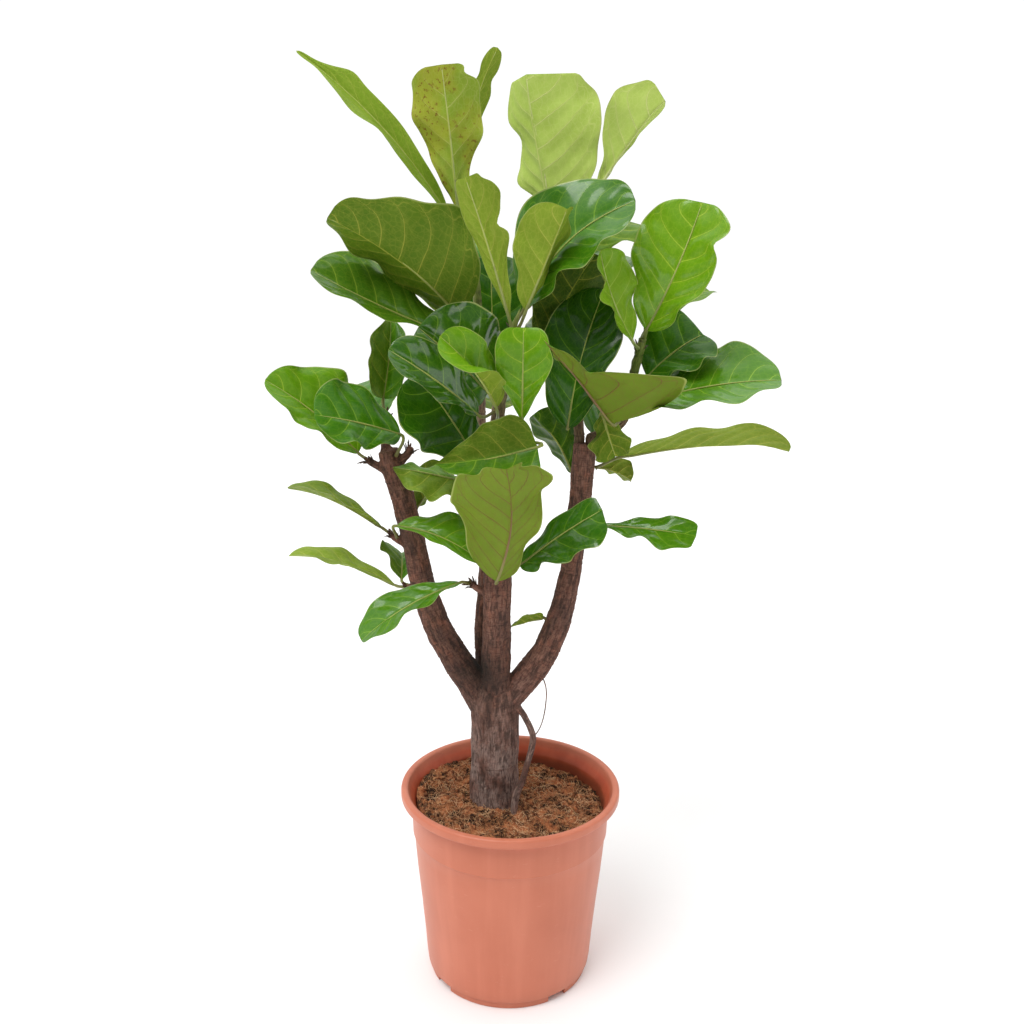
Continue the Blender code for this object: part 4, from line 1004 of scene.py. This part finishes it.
# Leaf 48 sits at the back of the crown; its very low age also paints the shade there.
leaf(48, "back_shoot", 75.0, (0.8, 16.3, 75.6), (10.5, 26, 77), (0, -0.2, 1), (6, 6), 0.02, arch=0.1,
     gloss=0.6, wave=0.5)
leaf(49, "back_shoot", 72.5, (-4, 15.5, 73.4), (-16.5, 20, 73), (0, -0.2, 1), (5.5, 5.5), 0.22, arch=0.08,
     gloss=0.4, wave=0.5)
leaf(50, "back_shoot", 69.5, (-1.8, 16.4, 69.6), (-2.5, 30.75, 66.5), (0, 0.2, 1), (6, 6), 0.2, arch=0.1,
     gloss=0.6, wave=0.5)
# Leaf 51 sits at the back of the crown; its low age also paints the shade there.
leaf(51, "right_limb", 65.0, (9.3, 3.6, 68), (17, 17, 70.5), (-0.1, -0.2, 1), (5.5, 5.5), 0.14, arch=0.08,
     wave=0.5)
leaf(52, "top_shoot", 82.0, (7.6, 7, 83), (15, 18, 88), (-0.3, -0.4, 0.85), (5, 5), 0.3, arch=0.08, gloss=0.4,
     wave=0.5)
print(len(LEAVES), "leaf rows")

# %% [markdown]
# A shoot is swept from its centre line, closely ringed, then swollen at each leaf's node. Between the
# living leaves the older nodes show as ring scars. The paint attribute keeps how green the bark is and
# where a scar lies, and the material reads both.

# %% Shoot material
shoot_bark, tree, shader = new_material("green_shoot_bark", 0.6)
grain = tree.attribute("grain")
greenness, scar, _ = tree.split(tree.attribute("paint"))
strands = tree.noise(tree.stretch(grain, 5.0, 5.0, 0.9), 1.6, 4.0, 0.6)
pores = tree.node("TexVoronoi", {"Vector": tree.stretch(grain, 3.0, 3.0, 2.2), "Scale": 1.7})
pore = tree.span(pores.outputs["Distance"], 0.16, 0.05)
brown = tree.mix(tree.span(strands, 0.35, 0.65), (0.1, 0.055, 0.032), (0.24, 0.15, 0.08))
green = tree.mix(tree.span(strands, 0.35, 0.7), (0.16, 0.21, 0.035), (0.3, 0.33, 0.08))
colour = tree.layers(
    tree.mix(greenness, brown, green),
    (scar, 0.9, (0.045, 0.022, 0.014)),
    (pore, 0.4, (0.45, 0.36, 0.22)),
)
tree.put(shader.inputs["Base Color"], colour)
tree.put(shader.inputs["Roughness"], tree.blend(greenness, 0.8, 0.5))
add_bump(tree, shader, tree.plus(strands, tree.times(pore, 0.2)), 0.6, 0.0012)

# %% Shoots
rng = np.random.default_rng(33)
for name in SHOOTS:
    line = [tuple(p) for p in smooth_line(twigs[name], 8)]
    shape = swept([line], 20)
    points = points_of(shape)
    found = place_on_stems(points, [line])
    nodes = [spec["height"] for spec in LEAVES.values() if spec["twig"] == name]
    low, high = line[0][2], line[-1][2]
    scars = [low + 0.8]
    while scars[-1] < high - 1.0:
        scars.append(scars[-1] + rng.uniform(0.9, 1.9))
    grain_layer = shape.verts.layers.float_vector.new("grain")
    paint_layer = shape.verts.layers.float_vector.new("paint")
    shape.normal_update()
    for vert, row, point in zip(shape.verts, found, points):
        height = point[2] + 0.08 * noise.noise(Vector(point * 1.5))
        swell = sum(math.exp(-((height - node) / 0.45) ** 2) for node in nodes)
        ring = max(math.exp(-((height - mark) / 0.07) ** 2) for mark in scars)
        lip = max(math.exp(-((height - mark - 0.13) / 0.09) ** 2) for mark in scars)
        share = (point[2] - low) / (high - low)
        vert[grain_layer] = (row[2], row[3], row[1])
        vert[paint_layer] = (min(1.0, max(0.0, 1.6 * share - 0.35)), min(1.0, 0.85 * ring), 0.0)
        rough = noise.fractal(Vector((row[2] * 3, row[3] * 3, row[1] * 1.1)), 0.8, 2.0, 3)
        if row[5] > 0 and 0.02 < share:
            vert.co += vert.normal * (0.09 * swell + 0.05 * lip - 0.05 * ring + 0.03 * rough) * CM
    add_piece(name + "_stem", shape, shoot_bark, [name])

# %% [markdown]
# ## How a blade is shaped
#
# The fig is called fiddle-leafed because its blade is wide near the tip, narrower at a waist about a
# quarter of the way up, and full again at the base. The outline function gives that width along the midrib.
# The two halves then fold up from the midrib and cup, the midrib arches and sways, and the stalk leaves the
# twig at an angle that clears the bark.

# %% Blade curves
STALK_RADIUS = 0.2
MOST_SIDE_RISE, LEAST_END_RISE = 0.64, 0.6
FIDDLE_WAIST, WAIST_PLACE, WAIST_LENGTH = 0.18, 0.27, 0.13
TWIST_FROM = 0.3


def stalk_start(line, height, target):
    """Where a stalk starts so that it clears the bark by the gap, and the way it sets off."""
    end = line[-1]
    if height > end[2]:
        along = unit((end - line[-2])[:3])
        way = unit(np.array(target) - end[:3])
        rise = max(LEAST_END_RISE, float(way @ along))
        way = unit(way - along * (way @ along)) * math.sqrt(1 - rise**2) + along * rise
        return end[:3] + way * (GAP + STALK_RADIUS * math.sqrt(1 - rise**2)) / rise, way
    point, along = at_height(line, height)
    way = unit(np.array(target) - point[:3])
    rise = min(MOST_SIDE_RISE, max(-MOST_SIDE_RISE, float(way @ along)))
    across = math.sqrt(1 - rise**2)
    way = unit(way - along * (way @ along)) * across + along * rise
    return point[:3] + way * (point[3] + GAP + STALK_RADIUS * abs(rise)) / across, way


def outline(s, body):
    """Half width along the blade, 1 at its widest, with the fiddle's waist."""
    full_base, full_tip = body
    peak = full_base / (full_base + full_tip)
    width = (s / peak) ** full_base * ((1 - s) / (1 - peak)) ** full_tip
    return width * (1 - FIDDLE_WAIST * math.exp(-(((s - WAIST_PLACE) / WAIST_LENGTH) ** 2)))


def midrib_point(spec, s):
    """The midrib's point at s, 0 base to 1 tip, with the blade's up and side directions before it bends."""
    base, tip = np.array(spec["base"], float), np.array(spec["tip"], float)
    length = np.linalg.norm(tip - base)
    forward = (tip - base) / length
    up = np.array(spec["faces"], float)
    up = unit(up - forward * (up @ forward))
    side = np.cross(forward, up)
    bend = 4 * s * (1 - s) * length
    point = base + forward * s * length
    point = point + up * spec.get("arch", 0.1) * bend + side * spec.get("sway", 0.0) * bend
    for key, way in (("hook", side), ("curl", -up)):
        start, amount = spec.get(key, (0.8, 0.0))
        point = point + way * amount * max(0.0, (s - start) / (1 - start)) ** 2
    return point, up, side


def blade_axes(spec, s):
    """The midrib's point, its direction, and the blade's up and side directions at s."""
    middle, up, _ = midrib_point(spec, s)
    along = unit(midrib_point(spec, s + 0.01)[0] - midrib_point(spec, s - 0.01)[0])
    normal = unit(up - along * (up @ along))
    side = np.cross(along, normal)
    twist = math.radians(spec.get("twist", 0.0)) * (s - TWIST_FROM)
    turned = normal * math.cos(twist) + side * math.sin(twist)
    return middle, along, turned, side * math.cos(twist) - normal * math.sin(twist)


# %% [markdown]
# ## Veins and the quilted surface
#
# Four to eight pairs of side veins leave the midrib, alternate left and right, and bend towards the tip
# near the margin. Between them the blade bulges up like a quilt, and the margin waves. A number that grows
# by one from each side vein to the next makes both possible: the mesh bulges between whole numbers, and the
# material draws a vein at each whole number. The formula stands twice, here for the mesh and later as
# shader nodes.

# %% Surface of one blade
VEIN_REACH, VEIN_CURL = 0.17, 0.12
BULGE, LUMP, GROOVE, GROOVE_WIDTH = 0.24, 0.24, 0.05, 0.22
WAVE, WAVES_ALONG, FULL_HALF = 0.36, 2.6, 4.0
BLADE_HALF_THICKNESS = 0.035
CUP, SECTION_STEPS = 10, 10


def vein_count(s, t, count, phase):
    """Grows by one from each side vein to the next, on either half of the blade."""
    rise = VEIN_REACH * abs(t) + VEIN_CURL * abs(t) ** 3
    return (s - rise) * count + phase + (0.5 if t > 0 else 0.0)


def half_width(spec, s, sign, seed):
    """From the midrib to the margin along the curved blade, in cm."""
    half = spec["halves"][0 if sign < 0 else 1] * outline(s, spec.get("body", (0.75, 0.42)))
    for edge_side, place, spread, amount in spec.get("edge", ()):
        if edge_side == sign:
            half *= 1 + amount * math.exp(-(((s - place) / spread) ** 2))
    half *= 1 + 0.06 * noise.noise((s * 6.0, 9.0 * sign, seed)) * math.sin(math.pi * s)
    return math.hypot(half, STALK_RADIUS * (1 - s) ** 4)


def half_section(spec, s, sign, half):
    """Steps from the midrib to the margin of one half: how far out, how far up, and the slope there."""
    which = 0 if sign < 0 else 1
    widest = spec["halves"][which]
    fold = spec.get("fold", (15, 15))[which] + spec.get("opens", (0, 0))[which] * s
    out, rise, steps = 0.0, 0.0, []
    for step in range(SECTION_STEPS + 1):
        t = step / SECTION_STEPS
        slope = math.radians(fold + CUP * t * half / widest)
        steps.append((out, rise, slope))
        out += math.cos(slope) * half / SECTION_STEPS
        rise += math.sin(slope) * half / SECTION_STEPS
    return steps


def blade_row(spec, s, seed):
    """What all points of one row across the blade share."""
    halves = [half_width(spec, s, sign, seed) for sign in (-1, 1)]
    sections = [half_section(spec, s, sign, half) for sign, half in zip((-1, 1), halves)]
    return blade_axes(spec, s), halves, sections


def blade_point(spec, row, s, t, seed, count, phase):
    """A point of the middle sheet in cm, the way straight out of it, and the distance from the midrib."""
    (middle, _, up, side), halves, sections = row
    which = 0 if t < 0 else 1
    sign = -1 if t < 0 else 1
    share = abs(t) * SECTION_STEPS
    low = min(SECTION_STEPS - 1, int(share))
    near, far = sections[which][low], sections[which][low + 1]
    out, rise, slope = (a + (b - a) * (share - low) for a, b in zip(near, far))
    normal = up * math.cos(slope) - side * sign * math.sin(slope)
    inside = math.sin(math.pi * min(1.0, max(0.0, s))) ** 0.6
    size = min(1.0, spec["halves"][which] / FULL_HALF)
    swing = math.sin(math.tau * (WAVES_ALONG * s + 0.31 * sign + phase))
    swing += 1.1 * noise.noise((s * 7.0, 4.0 * sign, seed))
    wave = spec.get("wave", WAVE) * size * abs(t) ** 2.6 * inside * swing
    between = vein_count(s, t, count, phase) % 1.0
    quilt = (4 * between * (1 - between)) ** 0.8 * (1 - abs(t) ** 5) * min(1.0, abs(t) * 5)
    quilt = (quilt - 0.5) * spec.get("quilt", 1.0)
    lift = wave + BULGE * size * inside * quilt
    lift += LUMP * size * noise.noise((s * 3, t * 2.2, seed + 5)) * inside
    lift -= GROOVE * math.exp(-((t * halves[which]) / GROOVE_WIDTH) ** 2) * inside
    return middle + side * sign * out + up * rise + normal * lift, normal, halves[which] * abs(t)


# %% [markdown]
# ## Leaf material
#
# One node group paints every blade. From the mesh it reads where it is on the blade (along, across, upper
# or under side), the leaf's age, its number of side veins and its length, so that veins keep their real
# width on a small leaf as on a large one. Age picks the green from two ramps, one for each side. Over it
# come the paler zone round each vein, the veins, a fine net that Voronoi cells give, the thin pale margin,
# and on one leaf some brown specks. The same lines are sunk on the upper side and raised below.

# %% Leaf pattern group
tree, outputs = new_group(
    "leaf_pattern", [("Color", "Color"), ("Roughness", "Float"), ("Height", "Float"), ("Upper", "Float")]
)
along, across, under = tree.split(tree.attribute("blade"))
age, count, phase = tree.split(tree.attribute("look"))
length, from_midrib, specks = tree.split(tree.attribute("size"))
dull, rib, gloss_up = tree.split(tree.attribute("tone"))
# The side swap moves a half towards the other side's colours; on leaf 5 it paints a sheen, and on leaves 15
# and 31 shade.
under = tree.math("MINIMUM", 1.0, tree.math("MAXIMUM", 0.0, tree.plus(under, dull)))
place = tree.place()
out = tree.math("ABSOLUTE", across)
right = tree.math("GREATER_THAN", across, 0.0)
warp = tree.times(tree.minus(tree.noise(place, 38.0, 1.0), 0.5), 0.02)
rise = tree.plus(tree.times(out, VEIN_REACH), tree.times(tree.math("POWER", out, 3.0), VEIN_CURL))
number = tree.times(tree.plus(tree.minus(along, rise), warp), count)
number = tree.plus(tree.plus(number, phase), tree.times(right, 0.5))
nearest = tree.apart(number, tree.math("ROUND", number))
side_distance = tree.times(tree.math("DIVIDE", nearest, count), tree.times(length, 0.85))
side_width = tree.span(out, 0.0, 1.0, 0.068, 0.026)
side_vein = tree.span(tree.math("DIVIDE", side_distance, side_width), 1.15, 0.35)
side_vein = tree.times(side_vein, tree.span(out, 1.0, 0.9))
halo = tree.span(side_distance, 0.5, 0.0)
midrib_width = tree.span(along, 0.0, 1.0, 0.14, 0.04)
midrib = tree.span(tree.math("DIVIDE", from_midrib, midrib_width), 1.2, 0.5)
swing = tree.math("COSINE", tree.times(number, math.tau))
loop_place = tree.plus(0.86, tree.times(swing, -0.045))
loop = tree.span(tree.apart(out, loop_place), 0.012, 0.003)
net_cells = tree.node("TexVoronoi", {"Vector": place, "Scale": 150.0}, feature="DISTANCE_TO_EDGE")
net = tree.span(net_cells.outputs["Distance"], 0.1, 0.02)
small_cells = tree.node("TexVoronoi", {"Vector": place, "Scale": 420.0}, feature="DISTANCE_TO_EDGE")
small_net = tree.span(small_cells.outputs["Distance"], 0.14, 0.02)
cloud = tree.noise(place, 22.0, 3.0, 0.55)
mottle = tree.noise(place, 150.0, 2.0, 0.5)

# %% [markdown]
# First come the ramps. All the rest is then laid over the green in order, each layer with a mask and a
# share, from the broad pale zone round a vein to the margin and the specks.

# %% Colours of a blade
def age_ramp(tree, factor, colours):
    """A colour that runs through the given ones as the factor goes from 0 to 1."""
    made = tree.node("ValToRGB", {"Fac": factor})
    stops = made.color_ramp.elements
    while len(stops) < len(colours):
        stops.new(0.5)
    for index, colour in enumerate(colours):
        stops[index].position = index / (len(colours) - 1)
        stops[index].color = (*colour, 1.0)
    return made.outputs["Color"]


uneven = tree.plus(age, tree.times(tree.minus(cloud, 0.5), 0.2))
uneven_low = tree.minus(uneven, tree.times(tree.span(out, 0.2, 1.0), 0.03))
upper = age_ramp(tree, uneven_low, [
    (0.009, 0.06, 0.001), (0.04, 0.17, 0.002), (0.095, 0.27, 0.003), (0.17, 0.37, 0.004), (0.32, 0.5, 0.04),
])
lower = age_ramp(tree, uneven, [
    (0.03, 0.08, 0.002), (0.09, 0.18, 0.006), (0.15, 0.235, 0.014), (0.27, 0.39, 0.03), (0.58, 0.75, 0.17),
])
upper_vein = age_ramp(tree, age, [
    (0.11, 0.25, 0.012), (0.25, 0.46, 0.03), (0.44, 0.62, 0.05), (0.56, 0.72, 0.16),
])
lower_vein = age_ramp(tree, age, [
    (0.34, 0.36, 0.05), (0.42, 0.44, 0.06), (0.5, 0.54, 0.09), (0.76, 0.84, 0.34),
])
lower_vein = tree.mix(rib, lower_vein, (0.2, 0.11, 0.035))
base = tree.mix(under, upper, lower)
vein_colour = tree.mix(under, upper_vein, lower_vein)
rung_place = tree.plus(tree.times(from_midrib, 1.15), tree.times(tree.noise(place, 55.0, 1.0), 1.6))
rung = tree.span(tree.apart(rung_place, tree.math("ROUND", rung_place)), 0.06, 0.015)
fine = tree.plus(tree.times(net, 0.14), tree.times(small_net, 0.04))
fine = tree.plus(fine, tree.times(rung, 0.16))
strong = tree.math("MAXIMUM", side_vein, midrib)
margin = tree.times(tree.span(out, 0.965, 0.985), tree.span(along, 0.02, 0.1))
yellow = tree.times(tree.span(tree.noise(place, 26.0, 2.0), 0.36, 0.6), specks)
spots = tree.times(tree.span(tree.noise(place, 240.0, 3.0, 0.65), 0.56, 0.64), yellow)
colour = tree.layers(
    base,
    (halo, 0.1, vein_colour),
    (tree.span(mottle, 0.3, 0.75), 0.07, vein_colour),
    (fine, tree.blend(under, 0.8, 1.0), vein_colour),
    (loop, 0.35, vein_colour),
    (strong, tree.blend(under, 0.78, 0.8), vein_colour),
    (margin, 0.6, (0.46, 0.52, 0.16)),
    (yellow, 0.5, (0.42, 0.38, 0.03)),
    (spots, 0.85, (0.2, 0.085, 0.015)),
)
tree.put(outputs.inputs["Color"], colour)
gloss = tree.blend(cloud, 0.26, 0.38)
tree.put(outputs.inputs["Roughness"], tree.blend(under, gloss, tree.blend(mottle, 0.5, 0.62)))
lines = tree.plus(tree.times(strong, 0.6), tree.times(fine, 0.12))
lines = tree.plus(lines, tree.times(loop, 0.15))
tree.put(outputs.inputs["Height"], tree.times(lines, tree.blend(under, -0.5, 1.0)))
tree.put(outputs.inputs["Upper"], tree.times(tree.minus(1.0, under), tree.plus(0.25, gloss_up)))

# %% [markdown]
# A waxy coat over the pattern gives the upper side its shine. The young leaves have less of it. The stalk
# has a material of its own, pale green along the midrib and browner towards the twig.

# %% Leaf materials
def leaf_finish(name, coat):
    """A blade material with the shared pattern and a coat of wax on its upper side."""
    material, tree, shader = new_material(name, Coat_Roughness=0.14, Specular_IOR_Level=0.14)
    pattern = tree.node("Group", node_tree=bpy.data.node_groups["leaf_pattern"])
    tree.put(shader.inputs["Base Color"], pattern.outputs["Color"])
    tree.put(shader.inputs["Roughness"], pattern.outputs["Roughness"])
    tree.put(shader.inputs["Coat Weight"], tree.times(pattern.outputs["Upper"], coat))
    add_bump(tree, shader, pattern.outputs["Height"], 0.7, 0.001)
    return material


mature_leaf = leaf_finish("mature_leaf", 0.8)
young_leaf = leaf_finish("young_leaf", 0.5)

stalk, tree, shader = new_material("leaf_stalk", 0.45)
part, age, _ = tree.split(tree.attribute("blade"))
rib = tree.split(tree.attribute("tone"))[1]
strands = tree.noise(tree.stretch(tree.place(), 260, 260, 120), 1.0, 3.0, 0.6)
colour = age_ramp(tree, part, [
    (0.15, 0.13, 0.035), (0.27, 0.31, 0.06), (0.42, 0.47, 0.1), (0.42, 0.48, 0.12),
])
colour = tree.layers(
    colour,
    (tree.span(age, 0.5, 1.0), 0.7, (0.74, 0.82, 0.34)),
    (rib, tree.span(part, 0.1, 0.4), (0.22, 0.12, 0.04)),
    (tree.span(strands, 0.5, 0.75), 0.45, (0.12, 0.09, 0.03)),
)
tree.put(shader.inputs["Base Color"], colour)
add_bump(tree, shader, strands, 0.35, 0.0008)

# %% [markdown]
# ## The leaves
#
# The stalk leaves its twig, bends into the line of the blade and runs on below it as the raised midrib, so
# both are one swept stem that tapers.

# %% Stalk and midrib
STALK_STEPS, RIB_STEPS = 9, 18
RIB_TIP_RADIUS, RIB_EXTRA_RADIUS = 0.04, 0.13


def stalk_line(spec, line):
    """Points and radii of the stalk and, after it, of the midrib below the blade."""
    start, way = stalk_start(line, spec["height"], spec["base"])
    first, first_along, _, _ = blade_axes(spec, 0.0)
    reach = np.linalg.norm(first - start)
    b, c = start + way * reach / 3, first - first_along * reach / 3
    points = []
    for t in np.linspace(0, 1, STALK_STEPS)[:-1]:
        point = (1 - t) ** 3 * start + 3 * (1 - t) ** 2 * t * b + 3 * (1 - t) * t**2 * c + t**3 * first
        points.append((*point, STALK_RADIUS * (1.0 + 0.25 * (1 - t) ** 6 - 0.12 * math.sin(math.pi * t))))
    for s in np.linspace(0, 0.97, RIB_STEPS):
        middle, _, up, _ = blade_axes(spec, s)
        radius = RIB_TIP_RADIUS + RIB_EXTRA_RADIUS * (1 - s) ** 1.3
        points.append((*(middle - up * radius * 0.75 * min(1.0, s / 0.06)), radius))
    return points


def add_stalk(shape, spec):
    """Adds the stalk and the raised midrib to a blade, with the second material."""
    blade_faces = len(shape.faces)
    line = stalk_line(spec, twigs[spec["twig"]])
    stem = swept([line], 10)
    part_layer, tone_layer = (stem.verts.layers.float_vector.new(key) for key in ("blade", "tone"))
    found = place_on_stems(points_of(stem), [line])
    for vert, row in zip(stem.verts, found):
        vert[part_layer] = (row[1] / found[:, 1].max(), spec["age"], 1.0)
        vert[tone_layer] = (0.0, spec.get("rib", 0.0), 0.0)
    mesh = to_mesh("stem", stem)
    shape.from_mesh(mesh)
    bpy.data.meshes.remove(mesh)
    shape.faces.ensure_lookup_table()
    for face in shape.faces[blade_faces:]:
        face.material_index = 1


# %% [markdown]
# A blade starts as two flat grids, one for the upper and one for the under side, turned back to back. Every
# point of both is moved to its place on the curved sheet, and the two sides close together at the margin,
# where they are welded. Rows are closer together at the base, the tip and the margins, where the outline
# turns quickly.

# %% Make a leaf
BLADE_ROWS, BLADE_COLUMNS = 54, 28
VEIN_SPACING, LEAST_VEINS, MOST_VEINS = 2.3, 4.0, 8.0
YOUNG = {1, 2, 3, 7, 9, 10, 11, 17, 18, 22, 23}


def two_sheets():
    """Two flat grids back to back, the upper and the under side, with the layers that the finish reads."""
    shape = bmesh.new()
    layers = [shape.verts.layers.float_vector.new(key) for key in ("blade", "look", "size", "tone")]
    for under in (0.0, 1.0):
        grid = bmesh.ops.create_grid(shape, x_segments=BLADE_ROWS, y_segments=BLADE_COLUMNS, size=0.5)
        for vert in grid["verts"]:
            vert[layers[0]] = (0.0, 0.0, under)
        if under:
            faces = {face for vert in grid["verts"] for face in vert.link_faces}
            bmesh.ops.reverse_faces(shape, faces=list(faces))
    return shape, layers


def make_leaf(number, spec):
    """The whole leaf of one row, as a piece on the frame."""
    seed, phase = number * 3.17, (number * 0.37) % 1.0
    name = f"leaf_{number:02d}"
    length = float(np.linalg.norm(np.subtract(spec["tip"], spec["base"])))
    count = min(MOST_VEINS, max(LEAST_VEINS, round(length / VEIN_SPACING)))
    dull, specks = spec.get("dull", (0, 0)), spec.get("specks", 0.0)
    shape, (blade_layer, look_layer, size_layer, tone_layer) = two_sheets()
    rows = {}
    for vert in shape.verts:
        u = min(1.0, max(0.0, vert.co.x + 0.5))
        s = 0.45 * u + 0.55 * (1 - math.cos(math.pi * u)) / 2
        t = math.sin(math.pi * min(0.5, max(-0.5, vert.co.y)))
        key = round(u, 5)
        if key not in rows:
            rows[key] = blade_row(spec, s, seed)
        point, normal, from_midrib = blade_point(spec, rows[key], s, t, seed, count, phase)
        under = vert[blade_layer][2]
        thick = BLADE_HALF_THICKNESS * (1 - t**6) * min(1.0, s / 0.03, (1 - s) / 0.02)
        vert.co = (point + normal * (-thick if under else thick)) * CM
        vert[blade_layer] = (s, t, under)
        vert[look_layer] = (spec["age"], count, phase)
        vert[size_layer] = (length, from_midrib, specks)
        vert[tone_layer] = (dull[0 if t < 0 else 1], spec.get("rib", 0.0), spec.get("gloss", 0.0))
    weld(shape, 2e-6)
    add_stalk(shape, spec)
    finish, slot = (young_leaf, "leaf_young") if number in YOUNG else (mature_leaf, "leaf_mature")
    piece = add_piece("fig_" + name, shape, finish, [name])
    piece.data.materials.append(stalk)


for number, spec in LEAVES.items():
    make_leaf(number, spec)

# %% [markdown]
# ## Buds and dry sheaths
#
# Each new leaf unfolds from a pointed sheath. When it has opened, the sheath dries to a brown paper that
# stays on the shoot for months. Small curled blades of that kind sit at every shoot tip and on the ends of
# the dead spurs. A bud at the tip of each shoot is a slender green cone.

# %% Sheaths
def sheath(shape, base, way, away, length, width, curl):
    """A thin pointed blade that stands on base, runs along way and curls towards away."""
    way, away = unit(way), unit(away)
    side = np.cross(way, away)
    grid = bmesh.ops.create_grid(shape, x_segments=6, y_segments=4, size=0.5)
    for vert in grid["verts"]:
        u, v = vert.co.x + 0.5, vert.co.y * 2
        half = width * (1 - u) ** 0.6 * (0.6 + 0.8 * u) * 0.5
        bend = curl * u * u
        out = away * (bend - 0.5 * half * (1 - v * v)) + side * v * half
        point = np.array(base) + way * length * u * (1 - 0.25 * bend / max(length, 0.1)) + out
        vert.co = point * CM


SPUR_SHEATHS, SHOOT_SHEATHS, SPUR_SPREAD, SHOOT_SPREAD = 9, 6, 0.9, 2.2
rng = np.random.default_rng(8)
shape = bmesh.new()
for name, line in twigs.items():
    if name.endswith("limb"):
        continue
    sheaths, spread = (SHOOT_SHEATHS, SHOOT_SPREAD) if name in SHOOTS else (SPUR_SHEATHS, SPUR_SPREAD)
    end, along = line[-1], unit((line[-1] - line[-2])[:3])
    for index in range(sheaths):
        turn = index * 2.4 + rng.uniform(-0.4, 0.4)
        across = unit(np.cross(along, (0.3, 1.0, 0.2)))
        out = across * math.cos(turn) + np.cross(along, across) * math.sin(turn)
        back = rng.uniform(0.0, spread)
        base = end[:3] - along * back + out * (end[3] * 0.85)
        way = along + out * rng.uniform(0.3, 0.9)
        length, width, curl = rng.uniform(0.5, 1.1), rng.uniform(0.45, 0.8), rng.uniform(-0.1, 0.45)
        sheath(shape, base, way, out, length, width, curl)
bmesh.ops.solidify(shape, geom=shape.faces[:], thickness=0.0002)
bmesh.ops.recalc_face_normals(shape, faces=shape.faces)
paper, tree, shader = new_material("dry_sheath", 0.75)
streak = tree.noise(tree.stretch(tree.place(), 500, 500, 120), 1.0, 3.0, 0.6)
colour = tree.mix(tree.span(streak, 0.35, 0.7), (0.035, 0.017, 0.011), (0.17, 0.085, 0.045))
tree.put(shader.inputs["Base Color"], colour)
add_bump(tree, shader, streak, 0.5, 0.0006)
add_piece("dry_sheaths", shape, paper)

# %% Buds
BUD_RADII = ((-0.1, 0.3), (0.15, 0.34), (0.6, 0.3), (1.2, 0.2), (1.8, 0.1), (2.2, 0.03))
buds = []
for name in SHOOTS:
    end, along = twigs[name][-1], unit((twigs[name][-1] - twigs[name][-2])[:3])
    lean = unit(along + rng.normal(0, 0.12, 3))
    buds.append(smooth_line([(*(end[:3] + lean * out), radius) for out, radius in BUD_RADII], 3))
shape = swept(buds, 12)
bud, tree, shader = new_material("leaf_bud", 0.42)
streak = tree.noise(tree.stretch(tree.place(), 420, 420, 60), 1.0, 2.0, 0.5)
colour = tree.mix(tree.span(streak, 0.3, 0.7), (0.2, 0.27, 0.05), (0.4, 0.42, 0.12))
tree.put(shader.inputs["Base Color"], colour)
add_bump(tree, shader, streak, 0.3, 0.0006)
add_piece("leaf_buds", shape, bud)
